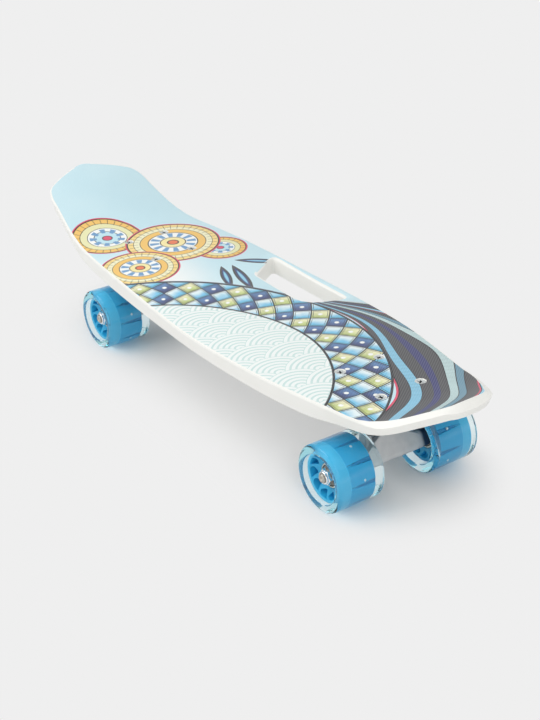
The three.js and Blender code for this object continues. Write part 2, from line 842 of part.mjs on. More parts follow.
// Two arms from the ring's sides down to the housing, clear of the nut.
function hangerYoke() {
  const foot = housingSize / 2 - housingCorner - axleUnderTilt;
  const end = axleAlongTilt;
  return [1, -1].map((side) => {
    const corners = [
      [yokeTopSpread, ringHalf],
      [yokeTopSpread, -ringHalf],
      [yokeFootSpread, foot],
      [yokeFootSpread + yokeThickness, foot],
      [yokeTopSpread + yokeThickness, ringHalf],
    ];
    const points = corners.map(([y, z]) => new THREE.Vector2(side * y, z));
    return standing(new THREE.Shape(points), yokeStart, end);
  });
}

// A shape drawn in Y and Z, extruded along X from one place to another.
function standing(shape, start, end) {
  const geometry = extruded(shape, start, end, 1);
  return geometry.rotateX(Math.PI / 2).rotateZ(Math.PI / 2);
}

// The pivot: a tapered stem on the steering axis with a rounded end.
function pivotStem() {
  const radius = pivotDiameter / 2;
  const end = pivotReach + radius - seatGap;
  const neck = pivotReach + radius - pivotLength - seatGap;
  const root = axleAlongTilt + housingSize / 2 - webThickness / 2;
  const profile = [
    [0, root],
    [pivotRootDiameter / 2, root],
    [pivotRootDiameter / 2, root + webThickness / 2],
    [radius, neck],
    [radius, pivotReach],
    [pivotTipShare * radius, end],
    [0, end],
  ];
  return turnedAlongTilt(profile, pivotFacets);
}

function axleGeometry() {
  const end = hangerHalf + axleNutStart + axleNutHeight + axleEnd;
  return turned(rodProfile(axleDiameter / 2, -end, end), axleFacets);
}

// Tyre: a clear ring round the core's drum, with lips over the drum's two ends.
function tyreGeometry() {
  const flat = wheelRadius - faceWidth;
  const inside = drumRadius + seatGap;
  const profile = [
    [faceRadius + seatGap, tyreStart],
    [flat, tyreStart],
    [wheelRadius - treadRound, tyreStart + treadRound],
    [wheelRadius, tyreStart + treadShoulder],
    [wheelRadius, tyreEnd - treadShoulder],
    [wheelRadius - treadRound, tyreEnd - treadRound],
    [flat, tyreEnd],
    [faceRadius + seatGap, tyreEnd],
    [faceRadius + seatGap, drumEnd + seatGap],
    [inside, drumEnd + seatGap],
    [inside, drumStart - seatGap],
    [faceRadius + seatGap, drumStart - seatGap],
    [faceRadius + seatGap, tyreStart],
  ];
  return turned(profile, tyreFacets).translate(0, hangerHalf, 0);
}

// Core: drum, hub and bearing seats. Its outer face is a dish with pockets in it.
function coreGeometry() {
  const seat = bearingDiameter / 2 + seatGap;
  const shoulder = seat - hubShoulder;
  const face = drumEnd - faceRecess;
  const innerStop = spacerStart + seatGap;
  const outerStop = outerBearingStart - seatGap;
  const bearingEnd = outerBearingStart + bearingWidth;
  const profile = [
    [faceRadius - faceRimWidth, face],
    [hubMouthRadius, bearingEnd + hubMouthRise],
    [seat, bearingEnd],
    [seat, outerStop],
    [shoulder, outerStop],
    [shoulder, innerStop],
    [seat, innerStop],
    [hubMouthRadius, drumStart],
    [drumRadius, drumStart],
    [drumRadius, drumEnd],
    [faceRadius, drumEnd],
    [faceRadius, face],
    [faceRadius - faceRimWidth, face],
  ];
  const body = toSolid(turned(profile, coreFacets));
  const pocket = extruded(pocketShape(), face - pocketDepth, face + overrun, 1);
  const pockets = [];
  for (let i = 0; i < pocketCount; i += 1) {
    const turn = (i * 2 * Math.PI) / pocketCount;
    pockets.push(toSolid(pocket.clone().rotateZ(turn).rotateX(-Math.PI / 2)));
  }
  return toGeometry(body.subtract(joinAll(pockets))).translate(0, hangerHalf, 0);
}

// One pocket: narrow at the hub and broad at the rim, with one straight side and one
// bowed side.
function pocketShape() {
  const outer = faceRadius - faceRimWidth - pocketOuterMargin;
  const inner = hubMouthRadius + pocketInnerMargin;
  const middle = (outer + inner) / 2;
  const corner = (radius, angle) => {
    return new THREE.Vector2(radius * Math.cos(angle), -radius * Math.sin(angle));
  };
  return new THREE.Shape([
    corner(inner, 0),
    corner(outer, -pocketSweep),
    corner(outer, pocketWidth - pocketSweep),
    corner(middle, pocketWidth - pocketTipWidth / 2),
    corner(inner, pocketTipWidth),
  ]);
}

// Ball bearing between two places along the axle. The outer one of a wheel, which
// shows, has its shield set back on the side that faces out.
function bearingGeometry(start, shielded) {
  const bore = axleDiameter / 2 + bearingClearance;
  const outer = bearingDiameter / 2;
  const end = start + bearingWidth;
  const profile = ringProfile(bore, outer, start, end);
  if (shielded) {
    const rim = shieldOuterShare * outer;
    const race = shieldInnerShare * outer;
    const back = end - shieldDepth;
    profile.splice(3, 0, [rim, end], [rim, back], [race, back], [race, end]);
  }
  return turned(profile, bearingFacets).translate(0, hangerHalf, 0);
}

// Spacer between the bearings, which carries the magnet for the wheel's lights.
function spacerGeometry() {
  const bore = axleDiameter / 2 + spacerBoreClearance;
  const profile = ringProfile(bore, spacerDiameter / 2, spacerStart + seatGap, outerBearingStart - seatGap);
  return turned(profile, axleFacets).translate(0, hangerHalf, 0);
}

function axleNutGeometry() {
  const start = hangerHalf + axleNutStart;
  const bore = axleDiameter / 2 + seatGap;
  const nut = hexNut(axleNutAcrossFlats, bore, -start - axleNutHeight, -start, nutFacets);
  return nut.rotateX(Math.PI / 2);
}

// One wheel with its bearings, on the side of the axle towards +Y.
function buildWheel(prefix) {
  const wheel = new THREE.Group();
  wheel.add(named(`${prefix}_tyre`, tyreGeometry(), clearTyre));
  wheel.add(named(`${prefix}_core`, coreGeometry(), corePlastic));
  wheel.add(named(`${prefix}_inner_bearing`, bearingGeometry(innerBearingStart, false), brightSteel));
  wheel.add(named(`${prefix}_outer_bearing`, bearingGeometry(outerBearingStart, true), brightSteel));
  wheel.add(named(`${prefix}_spacer`, spacerGeometry(), magnetMetal));
  wheel.add(named(`${prefix}_axle_nut`, axleNutGeometry(), brightSteel));
  return wheel;
}

// One truck, with its origin in the middle of its bolt pattern on the deck's face.
function buildTruck(end, heading) {
  const truck = new THREE.Group();
  truck.position.set(heading * patternReach, 0, mountHeight);
  truck.rotation.z = heading > 0 ? 0 : Math.PI;
  truck.add(named(`${end}_baseplate`, basePlateGeometry(), castMetal));

  const steering = new THREE.Group();
  steering.position.set(-ringSetback, 0, -ringDrop);
  steering.rotation.y = -pivotTilt;
  steering.add(named(`${end}_pivot_cup`, pivotCupGeometry(), cupPlastic));
  steering.add(named(`${end}_kingpin`, kingpinGeometry(), zincSteel));
  steering.add(named(`${end}_kingpin_nut`, kingpinNutGeometry(), zincSteel));
  steering.add(named(`${end}_upper_bushing`, upperBushingGeometry(), bushingRubber));
  steering.add(named(`${end}_lower_bushing`, lowerBushingGeometry(), bushingRubber));
  steering.add(named(`${end}_washer`, washerGeometry(), zincSteel));
  steering.add(named(`${end}_hanger`, hangerGeometry(), castMetal));
  truck.add(steering);

  const axle = new THREE.Group();
  axle.position.set(axleOffset, 0, -truckHeight);
  axle.add(named(`${end}_axle`, axleGeometry(), brightSteel));
  for (const side of [1, -1]) {
    const hand = side * heading > 0 ? 'left' : 'right';
    const wheel = buildWheel(`${end}_${hand}`);
    wheel.rotation.z = side > 0 ? 0 : Math.PI;
    axle.add(wheel);
  }
  truck.add(axle);
  return truck;
}

// The eight truck bolts and their nuts.
function buildHardware() {
  const hardware = new THREE.Group();
  hardware.position.z = deckTop;
  boltPlaces().forEach(([x, y], i) => {
    const bolt = named(`deck_bolt_${i + 1}`, boltGeometry(), zincSteel);
    const nut = named(`locknut_${i + 1}`, locknutGeometry(), zincSteel);
    bolt.position.set(x, y, 0);
    nut.position.set(x, y, 0);
    hardware.add(bolt, nut);
  });
  return hardware;
}

const board = new THREE.Group();
board.add(named('deck', deckGeometry(), deckPlastic));
board.add(buildTruck('front', 1));
board.add(buildTruck('rear', -1));
board.add(buildHardware());
board.position.x = (tailReach - noseReach) / 2;

export default board;
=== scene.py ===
"""Looks of a cruiser skateboard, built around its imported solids. Metres, in the part's own frame."""
import json
import math

import bmesh
import bpy
from mathutils import Matrix, Vector


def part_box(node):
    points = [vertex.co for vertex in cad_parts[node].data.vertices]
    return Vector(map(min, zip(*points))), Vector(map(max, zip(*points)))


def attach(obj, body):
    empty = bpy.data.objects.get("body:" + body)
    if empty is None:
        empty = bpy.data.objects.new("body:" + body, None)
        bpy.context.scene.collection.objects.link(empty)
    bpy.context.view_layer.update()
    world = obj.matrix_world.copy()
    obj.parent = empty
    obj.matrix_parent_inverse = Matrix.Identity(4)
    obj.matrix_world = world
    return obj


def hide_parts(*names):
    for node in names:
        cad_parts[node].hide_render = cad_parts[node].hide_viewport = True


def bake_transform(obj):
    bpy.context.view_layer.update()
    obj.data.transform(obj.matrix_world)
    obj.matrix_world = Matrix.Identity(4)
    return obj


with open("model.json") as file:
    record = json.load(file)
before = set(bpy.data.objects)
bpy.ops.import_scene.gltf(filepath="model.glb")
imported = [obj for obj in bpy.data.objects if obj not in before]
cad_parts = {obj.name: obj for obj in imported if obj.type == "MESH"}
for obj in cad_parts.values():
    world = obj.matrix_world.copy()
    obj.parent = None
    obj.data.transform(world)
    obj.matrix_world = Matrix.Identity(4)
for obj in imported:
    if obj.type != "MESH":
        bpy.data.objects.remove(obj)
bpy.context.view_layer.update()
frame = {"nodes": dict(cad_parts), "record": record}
NODES = frame["nodes"]

MM = 0.001
MM_PER_METRE = 1000.0
BOLT_SINK = 0.5  # millimetres from the deck's top down to the bolts' heads
TRUCKS = ("front", "rear")
HANDS = ("left", "right")


def node_box(node):
    """A node's lowest and highest corners at rest, in millimetres."""
    low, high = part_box(node)
    return Vector(low) / MM, Vector(high) / MM


# Places that come from the solids, in millimetres.
AXLES = {truck: sum(node_box(f"{truck}_axle"), Vector()) / 2 for truck in TRUCKS}
MIDDLE_X = (AXLES["front"].x + AXLES["rear"].x) / 2
HALF_WHEELBASE = (AXLES["front"].x - AXLES["rear"].x) / 2
AXLE_Z = AXLES["front"].z
HANGER_END = node_box("front_hanger")[1].y
DECK_TOP = node_box("deck_bolt_1")[1].z + BOLT_SINK
STEERING = {joint["name"].split("_")[0]: joint for joint in frame["record"]["behaviour"]["joints"]
            if joint["name"].endswith("_steer")}

# Sizes of the wheels, in millimetres. Those along the axle count from the hanger's end.
WHEEL_RADIUS = 30.0
TYRE_START, TYRE_END = -10.9, 35.5
TYRE_ROUND = 3.2
DRUM_START, DRUM_END = -2.9, 30.4
DRUM_RADIUS = 22.6
BAND_START = 21.5
GROOVES, GROOVE_TURN = 8, 5.0
GROOVE_HALF, GROOVE_TIP, GROOVE_DEPTH, STEP_DEPTH = 2.2, 0.8, 1.3, 0.3
FACE_RADIUS, FACE_RIM = 21.9, 20.2
FACE = 30.1
MOUTH_RADIUS, MOUTH = 12.6, 25.0
SEAT_RADIUS, SHOULDER_RADIUS = 11.3, 9.3
POCKETS, POCKET_TURN = 10, 21.8
POCKET_START, POCKET_END, POCKET_FLOOR = 13.8, 19.6, 21.6
POCKET_LEAN, POCKET_TIP, POCKET_WIDTH, POCKET_BOW = 12.0, 7.0, 24.0, 11.0
POCKET_STEPS, POCKET_CELLS, WEB_CELLS = 8, 7, 5
FLOOR_SHARE, FLOOR_INSET = 0.93, 0.04
MOUTH_LEAN = 7.0
BACK_DEPTH = 0.6
BEARINGS = {"inner": 0.6, "outer": 17.6}
BEARING_RADIUS, BEARING_WIDTH = 11.0, 7.0
RACE, SHIELD_END, SHIELD_START, BORE = 9.6, 9.0, 6.3, 4.1
NUT_START, NUT_HEIGHT, NUT_ACROSS = 24.9, 6.5, 12.7
COLLAR_HEIGHT = 1.9
AXLE_RADIUS, AXLE_END = 4.0, 32.9
THREAD_START, THREAD_PITCH, THREAD_DEPTH = 2.6, 1.25, 0.35
LIGHTS, LIGHT_TURN, LIGHT_PLACE, LIGHT_RADIUS = 5, 32.6, 7.5, 1.2
SEGMENTS = 120
SHARP_ANGLE = 32.0
WHEEL_TURNS = {"front_right": 0.0, "front_left": 74.0, "rear_right": 131.0, "rear_left": 205.0}

# Sizes of the bolts, the bushings and the wedge over the front base plate, in millimetres.
HEAD_RADIUS, HEAD_DEPTH, SHANK_RADIUS, BOLT_LENGTH = 4.8, 2.7, 2.4, 27.0
RECESS_REACH, RECESS_HALF, RECESS_DEPTH = 2.7, 0.62, 1.7
KINGPIN_BORE = 5.3
BUSHING_EASE, BUSHING_STEPS = 0.5, 8
WEDGE = (Vector((213.0, -33.3, node_box("front_baseplate")[1].z)), Vector((244.3, 33.3, 86.5)))
WEDGE_ROUND, WEDGE_POINTS, WEDGE_POWER = 0.8, 40, 0.22
BOLT_TURN = 37.0
BUSHINGS = {"upper": ((4.3, 16.7), (12.0, 12.0), 0.9), "lower": ((-14.0, -4.3), (9.5, 12.0), 0.5)}


# Shader formulas
LOOKS = {
    "color": "Base Color", "roughness": "Roughness", "metallic": "Metallic", "ior": "IOR",
    "transmission": "Transmission Weight", "specular": "Specular IOR Level",
}
MIX_SHARE, MIX_UNDER, MIX_OVER, MIX_RESULT = 0, 6, 7, 2  # the sockets of a Mix node that mixes colours


class Value:
    """A number in a material's node tree. Arithmetic on it adds nodes."""

    def __init__(self, graph, socket):
        self.graph = graph
        self.socket = socket

    def __add__(self, other):
        return self.graph.math("ADD", self, other)

    def __sub__(self, other):
        return self.graph.math("SUBTRACT", self, other)

    def __rsub__(self, other):
        return self.graph.math("SUBTRACT", other, self)

    def __mul__(self, other):
        return self.graph.math("MULTIPLY", self, other)

    def __truediv__(self, other):
        return self.graph.math("DIVIDE", self, other)

    def __lt__(self, other):
        return self.graph.math("LESS_THAN", self, other)

    def __gt__(self, other):
        return self.graph.math("GREATER_THAN", self, other)

    __radd__ = __add__

    def abs(self):
        return self.graph.math("ABSOLUTE", self)

    def sin(self):
        return self.graph.math("SINE", self)

    def floor(self):
        return self.graph.math("FLOOR", self)

    def sqrt(self):
        return self.graph.math("SQRT", self)

    def least(self, other):
        return self.graph.math("MINIMUM", self, other)

    def most(self, other):
        return self.graph.math("MAXIMUM", self, other)

    def wrap(self, size):
        """What is left over a whole number of steps of that size, from 0 to the size."""
        return self.graph.math("FLOORED_MODULO", self, size)

    def ramp(self, low, high):
        """0 below low, 1 above high, smooth between them. Low may lie above high."""
        return self.graph.ramp(self, low, high)


class Graph:
    """One procedural material with a Principled shader."""

    def __init__(self, name):
        self.material = bpy.data.materials.new(name)
        self.material.use_nodes = True
        self.tree = self.material.node_tree
        self.tree.nodes.clear()
        self.output = self.tree.nodes.new("ShaderNodeOutputMaterial")
        self.shader = self.tree.nodes.new("ShaderNodeBsdfPrincipled")
        self.tree.links.new(self.shader.outputs[0], self.output.inputs[0])
        self.coordinates = None

    def node(self, kind, **settings):
        """A new node of that kind, with its settings."""
        made = self.tree.nodes.new(kind)
        for key, value in settings.items():
            setattr(made, key, value)
        return made

    def put(self, socket, value):
        """Links a value or a socket to an input, or writes a constant there."""
        if isinstance(value, Value):
            self.tree.links.new(value.socket, socket)
        elif isinstance(value, bpy.types.NodeSocket):
            self.tree.links.new(value, socket)
        else:
            socket.default_value = value

    def math(self, operation, *inputs):
        """The value of one Math node."""
        made = self.node("ShaderNodeMath", operation=operation)
        for socket, value in zip(made.inputs, inputs):
            self.put(socket, value)
        return Value(self, made.outputs[0])

    def ramp(self, value, low, high):
        """0 at low and 1 at high, with a smooth step between them."""
        made = self.node("ShaderNodeMapRange", interpolation_type="SMOOTHSTEP")
        inputs = (value, high, low, 1.0, 0.0) if low > high else (value, low, high, 0.0, 1.0)
        for socket, given in zip(made.inputs, inputs):
            self.put(socket, given)
        return Value(self, made.outputs[0])

    def object_space(self):
        if self.coordinates is None:
            self.coordinates = self.node("ShaderNodeTexCoord").outputs["Object"]
        return self.coordinates

    def place(self):
        """X, Y and Z in the part's frame at rest, in millimetres."""
        split = self.node("ShaderNodeSeparateXYZ")
        self.put(split.inputs[0], self.object_space())
        return [Value(self, s) * MM_PER_METRE for s in split.outputs]

    def noise(self, size, detail=3.0):
        """Smooth noise from 0 to 1 with features of that size in millimetres."""
        made = self.node("ShaderNodeTexNoise")
        self.put(made.inputs["Vector"], self.object_space())
        made.inputs["Scale"].default_value = MM_PER_METRE / size
        made.inputs["Detail"].default_value = detail
        return Value(self, made.outputs[0])

    def normal(self):
        """The face's own normal."""
        split = self.node("ShaderNodeSeparateXYZ")
        self.put(split.inputs[0], self.node("ShaderNodeNewGeometry").outputs["True Normal"])
        return [Value(self, s) for s in split.outputs]

    def mix(self, share, under, over):
        """Colour over on colour under, as strong as share."""
        made = self.node("ShaderNodeMix", data_type="RGBA")
        for index, value in ((MIX_SHARE, share), (MIX_UNDER, under), (MIX_OVER, over)):
            self.put(made.inputs[index], linear(value) if isinstance(value, str) else value)
        return made.outputs[MIX_RESULT]

    def bands(self, value, stops):
        """Flat colours, each from its own value up to the next one's."""
        made = self.node("ShaderNodeValToRGB")
        made.color_ramp.interpolation = "CONSTANT"
        elements = made.color_ramp.elements
        while len(elements) < len(stops):
            elements.new(1.0)
        for element, (position, color) in zip(elements, stops):
            element.position = position
            element.color = linear(color)
        self.put(made.inputs[0], value)
        return made.outputs[0]

    def look(self, **values):
        """Sets the shader's inputs. A colour may be written as RRGGBB."""
        for key, value in values.items():
            self.put(self.shader.inputs[LOOKS[key]], linear(value) if isinstance(value, str) else value)

    def bump(self, height, depth):
        """Height from 0 to 1 as relief of that depth in millimetres."""
        made = self.node("ShaderNodeBump")
        made.inputs["Distance"].default_value = depth * MM
        self.put(made.inputs["Height"], height)
        self.tree.links.new(made.outputs[0], self.shader.inputs["Normal"])


def linear(code):
    """A colour written as RRGGBB, as the linear values that shaders take."""
    shares = [int(code[i:i + 2], 16) / 255 for i in (0, 2, 4)]
    return tuple(s / 12.92 if s <= 0.04045 else ((s + 0.055) / 1.055) ** 2.4 for s in shares) + (1.0,)


# Materials
TINT, TINT_DENSITY, TINT_SHADOW = (0.1, 0.88, 0.99, 1.0), 15.0, "DCEDF4"
# Reach and height of the painted navy shade on the hangers' ends inside the wheels, in millimetres
HANGER_SHADE_END, HANGER_SHADE_HEIGHT = (9.0, 5.0), 20.0
# Depths below the deck's top where painted shade darkens the bolts' cross recesses, in millimetres
RECESS_SHADE = (0.75, 1.1)

# The deck's printed design: places in millimetres on the top face, and its colours.
# X counts from the middle between the axles.
ARCH = (66.5, -150.0)
ARCH_INNER, ARCH_OUTER = 148.0, 196.0
LATTICE_WIDTH, LATTICE_HEIGHT = 22.0, 24.0
LATTICE_LINE, LATTICE_EDGE, LATTICE_DOT = (0.37, 0.40), 0.46, 0.13
OUTLINE, DISC_OUTLINE = 1.1, 1.3
WAVE_RADIUS, WAVE_PITCH, WAVE_PHASE, WAVE_LINE = 30.0, 5.0, 0.45, 0.2
PETALS, SPOKES = (0.3, 0.5), (0.75, 0.95)
INK, CHARCOAL, PINK = "26282E", "4B4C50", "DE4668"
STRANDS = (
    (0.0, PINK), (1.4, INK), (2.2, CHARCOAL), (9.0, INK), (9.8, "8CCBE8"), (17.0, INK), (17.8, CHARCOAL),
    (27.0, "363A72"), (33.0, CHARCOAL), (41.0, INK), (41.8, "C6E0E2"), (50.0, INK), (50.8, "6B96AB"),
    (58.0, INK), (58.8, CHARCOAL), (70.0, PINK), (71.4, INK), (72.2, "94CFE8"), (79.0, INK),
    (79.8, CHARCOAL), (90.0, "363A72"), (95.0, CHARCOAL), (110.0, INK), (110.8, "C6E0E2"), (118.0, PINK),
)
STRAND_END, STRAND_SCALE = 119.5, 120.0
PALE_STRANDS = ((9.8, 17.0), (41.8, 50.0))
PRINT_END = 305.0
SUN = ((0.0, "E9784A"), (0.1, INK), (0.13, "F6E7A6"), (0.26, INK), (0.285, "F7F9F6"), (0.52, INK),
       (0.545, "F3C566"), (0.7, INK), (0.715, "F2EFC9"), (0.84, INK), (0.855, "F6D98A"), (0.965, INK))
MOON = ((0.0, "DE4668"), (0.12, INK), (0.15, "BFE3EF"), (0.36, INK), (0.385, "F7F9F6"), (0.55, INK),
        (0.57, "E9E7B4"), (0.76, INK), (0.78, "F3C566"), (0.96, INK))
LEAF = ((0.0, "8FCBE4"), (0.3, "3C4E86"), (0.55, CHARCOAL), (0.9, INK))
DISCS = (  # centre, radius, colours, petals
    ((-224.5, -34.0), 36.0, MOON, 9.0),
    ((-132.5, 44.0), 26.0, MOON, 8.0),
    ((-174.5, 14.0), 47.0, SUN, 12.0),
    ((-140.5, -44.0), 38.0, SUN, 10.0),
)
LEAVES = (  # start, end, half the width
    ((-90.5, 30.0), (-32.5, 16.0), 5.5),
    ((-94.5, 20.0), (-48.5, 2.0), 5.0),
    ((-98.5, 38.0), (-66.5, 74.0), 5.0),
)
LEVEL, SIDEWAYS = 0.6, 0.12  # the face normals that count as the top face
CORNER_START, CORNER_SLOPE = 20.0, 0.25
SCUFF_X, SCUFF_NEAR, SCUFF_FAR = (301.0, 309.0), (34.0, 44.0), (60.0, 50.0)
TWILL_SLANT, TWILL_PITCH, WEFT_PITCH, TWILL_STRENGTH = 0.75, 2.6, 1.9, 0.08


def arcs_of_waves(x, y):
    """Lines of a field of overlapping fans, as a mask."""
    lines = None
    row = ((y + WAVE_RADIUS) / (WAVE_RADIUS / 2)).floor()
    for back in (-1.0, 0.0, 1.0):
        here = row + back
        rise = y - here * (WAVE_RADIUS / 2) + WAVE_RADIUS / 2
        across = (x + here * WAVE_RADIUS).wrap(2 * WAVE_RADIUS) - WAVE_RADIUS
        reach = (across * across + rise * rise).sqrt()
        ring = ((reach / WAVE_PITCH + WAVE_PHASE).wrap(1.0) - 0.5).abs() < WAVE_LINE
        inside = reach < WAVE_RADIUS
        lines = ring * inside if lines is None else lines + (ring - lines) * inside
    return lines


def lattice(g, x, y, under):
    """A band of slender diamonds round the arch, with ink between them and a dot in every other one."""
    dx, dy = x - ARCH[0], y - ARCH[1]
    reach = (dx * dx + dy * dy).sqrt()
    around = g.math("ARCTAN2", dy, dx) * ((ARCH_INNER + ARCH_OUTER) / 2 / LATTICE_WIDTH)
    up = (reach - ARCH_INNER) / LATTICE_HEIGHT
    first, second = around + up, around - up
    a, b = first.wrap(1.0) - 0.5, second.wrap(1.0) - 0.5
    edge = a.abs().most(b.abs())
    column = first.floor() + second.floor()
    wash = (a + 0.5 + (g.noise(9.0) - 0.5) * 0.8).ramp(0.1, 0.9)
    sky = g.mix(wash, "6FC3E6", "E6F3F6")
    lime = g.mix(wash, "C3D184", "F0EEC6")
    night = g.mix(wash, "3B4A7C", "5C86B8")
    hatch = ((a * 9.0).wrap(1.0) < 0.22) * (b > 0.0)
    lime = g.mix(hatch * 0.55, lime, INK)
    color = g.mix(column.wrap(2.0) > 0.5, sky, g.mix((column.wrap(4.0) > 2.5), lime, night))
    dot = (a * a + b * b).sqrt() < LATTICE_DOT
    color = g.mix(dot * (column.wrap(2.0) > 0.5), color, "F7F9F6")
    color = g.mix((edge > LATTICE_LINE[0]) * (edge < LATTICE_LINE[1]), color, INK)
    band = (reach > ARCH_INNER) * (reach < ARCH_OUTER)
    rim = ((reach - ARCH_INNER).abs() < OUTLINE).most((reach - ARCH_OUTER).abs() < OUTLINE)
    return g.mix(rim, g.mix(band, under, g.mix(edge > LATTICE_EDGE, color, INK)), INK)


def disc(g, x, y, under, centre, radius, stops, petals):
    """Rings round a centre, with radial petals on the pale ring."""
    dx, dy = x - centre[0], y - centre[1]
    reach = (dx * dx + dy * dy).sqrt() / radius
    turn = g.math("ARCTAN2", dy, dx)
    petal = ((turn * petals).sin() > 0.0) * (reach > PETALS[0]) * (reach < PETALS[1])
    spokes = ((turn * petals * 3.0).sin() > 0.93) * (reach > SPOKES[0]) * (reach < SPOKES[1])
    rings = g.mix(petal, g.bands(reach, stops), "6B9CC9")
    rings = g.mix(spokes * 0.7, rings, INK)
    edged = g.mix(reach < 1.0, under, rings)
    return g.mix((reach > 1.0) * (reach < 1.0 + DISC_OUTLINE / radius), edged, PINK)


def leaf(g, x, y, under, start, end, width):
    """A pointed leaf between two points, with stripes along its edges."""
    ax, ay = start
    along = Vector((end[0] - ax, end[1] - ay))
    half = along.length / 2
    radius = (half * half + width * width) / (2 * width)
    side = Vector((-along.y, along.x)).normalized() * (radius - width)
    reach = None
    for sign in (1, -1):
        dx = x - (ax + along.x / 2 + sign * side.x)
        dy = y - (ay + along.y / 2 + sign * side.y)
        far = (dx * dx + dy * dy).sqrt()
        reach = far if reach is None else reach.most(far)
    depth = (reach - (radius - width)) / width
    return g.mix(depth < 1.0, under, g.bands(depth, LEAF))


def print_color(g, x, y):
    """The colour of the printed design at a place on the top face."""
    wash = g.noise(60.0, 2.0)
    sky = g.mix(wash, "BFE2EE", "D0ECF4")
    far = (y + x * 0.12 + (wash - 0.5) * 30.0).ramp(-45.0, 12.0).most(x.ramp(-128.0, -198.0))
    color = g.mix(far, "F1F6F6", sky)
    for centre, radius, stops, petals in DISCS:
        color = disc(g, x, y, color, centre, radius, stops, petals)
    for start, end, width in LEAVES:
        color = leaf(g, x, y, color, start, end, width)
    dx, dy = x - ARCH[0], y - ARCH[1]
    reach = (dx * dx + dy * dy).sqrt()
    inside = reach < ARCH_INNER
    waves = arcs_of_waves(y, x)
    color = g.mix(inside, color, g.mix(waves, "F0F6F5", "C8E0DE"))
    flow = (x / 21.0 + y / 34.0).sin() * 4.0 + (x / 47.0 - y / 17.0).sin() * 3.0
    spread = x.ramp(-18.0, 212.0)
    strand = (reach - ARCH_OUTER + flow * spread) / (spread + 0.02)
    ticks = ((x * 0.7 - y * 0.7) / 2.4).wrap(1.0) < 0.25
    strands = g.bands(strand / STRAND_SCALE, [(p / STRAND_SCALE, c) for p, c in STRANDS])
    first, second = [(strand > low) * (strand < high) for low, high in PALE_STRANDS]
    pale = first.most(second)
    strands = g.mix(pale * ticks * 0.45, strands, INK)
    color = g.mix((strand > 0.0) * (strand < STRAND_END), color, strands)
    return lattice(g, x, y, color)


def deck_material():
    """Moulded plastic with a fine hatched grain, and the printed design on its top face."""
    g = Graph("deck_plastic")
    x, y, _ = g.place()
    nx, ny, nz = g.normal()
    level = (nz > LEVEL) * (ny.abs() < SIDEWAYS)
    outward = nx * ((x > 0.0) * 2.0 - 1.0)
    corner = x + (y.abs() - CORNER_START).most(0.0) * CORNER_SLOPE
    printed = level * (outward < 0.1) * (corner < PRINT_END)
    twill = ((x + y * TWILL_SLANT) * (2 * math.pi / TWILL_PITCH)).sin() * 0.5 + 0.5
    weft = ((x - y * TWILL_SLANT) * (2 * math.pi / WEFT_PITCH)).sin() * 0.5 + 0.5
    art = print_color(g, x - MIDDLE_X, y)
    art = g.mix(twill * TWILL_STRENGTH, art, "FFFFFF")
    plastic = g.mix(g.noise(40.0), "F3F3EE", "F8F8F5")
    scuff = (x.ramp(*SCUFF_X) * y.ramp(*SCUFF_NEAR) * y.ramp(*SCUFF_FAR) * g.noise(4.0)).ramp(0.2, 0.6)
    plastic = g.mix(scuff * 0.5, plastic, "C9B89A")
    g.look(color=g.mix(printed, plastic, art), roughness=0.42 + printed * 0.08)
    g.bump((twill * 0.6 + weft * 0.3) * (nz > 0.4) + g.noise(0.8) * 0.2, 0.06)
    return g.material


def cast_material():
    """Cast aluminium, with painted navy shade on the hangers' ends inside the wheels."""
    g = Graph("cast_metal")
    cloud = g.noise(7.0, 4.0)
    pits = g.noise(0.7, 2.0)
    _, y, z = g.place()
    # Painted shade: the hangers' ends inside the wheels, below this height, turn navy 2A4058
    inside = y.abs().ramp(HANGER_END - HANGER_SHADE_END[0], HANGER_END - HANGER_SHADE_END[1]) * (z < AXLE_Z + HANGER_SHADE_HEIGHT)
    color = g.mix(inside, g.mix(cloud, "BCBEC0", "DADBDC"), "2A4058")
    g.look(color=color, metallic=0.6, roughness=cloud * 0.2 + 0.42)
    g.bump(pits * 0.6 + cloud * 0.4, 0.2)
    return g.material


def steel_material(name, color, roughness, grain=0.03):
    """Plated steel. The smoother kinds are mottled towards white, the others towards grey."""
    g = Graph(name)
    cloud = g.noise(4.0, 3.0)
    g.look(color=g.mix(cloud, color, "FFFFFF" if roughness < 0.2 else "B0B2B5"), metallic=1.0,
           roughness=cloud * 0.12 + roughness)
    g.bump(g.noise(0.5), grain)
    return g.material


def bolt_material():
    """Bright zinc, with painted shade down in the cross recess."""
    g = Graph("bolt_steel")
    _, _, z = g.place()
    cloud = g.noise(2.0)
    # Painted shade: the cross recess turns dark 2B2D31 from these depths down
    recess_shade = z.ramp(DECK_TOP - RECESS_SHADE[0], DECK_TOP - RECESS_SHADE[1])
    bright = g.mix(cloud, "BFC5C6", "DDE1E1")
    g.look(color=g.mix(recess_shade, bright, "2B2D31"), metallic=0.85, roughness=cloud * 0.1 + 0.24)
    g.bump(g.noise(0.4), 0.02)
    return g.material


def clear_material():
    """Clear tinted urethane. Shadow rays pass through it, so that lamps reach the core inside."""
    g = Graph("clear_urethane")
    g.look(color="FAFDFE", roughness=0.03, transmission=1.0, ior=1.45)
    passing = g.node("ShaderNodeBsdfTransparent")
    passing.inputs["Color"].default_value = linear(TINT_SHADOW)
    mixed = g.node("ShaderNodeMixShader")
    rays = g.node("ShaderNodeLightPath")
    g.put(mixed.inputs[0], rays.outputs["Is Shadow Ray"])
    g.put(mixed.inputs[1], g.shader.outputs[0])
    g.put(mixed.inputs[2], passing.outputs[0])
    g.put(g.output.inputs["Surface"], mixed.outputs[0])
    tint = g.node("ShaderNodeVolumeAbsorption")
    tint.inputs["Color"].default_value = TINT
    tint.inputs["Density"].default_value = TINT_DENSITY
    g.put(g.output.inputs["Volume"], tint.outputs[0])
    return g.material


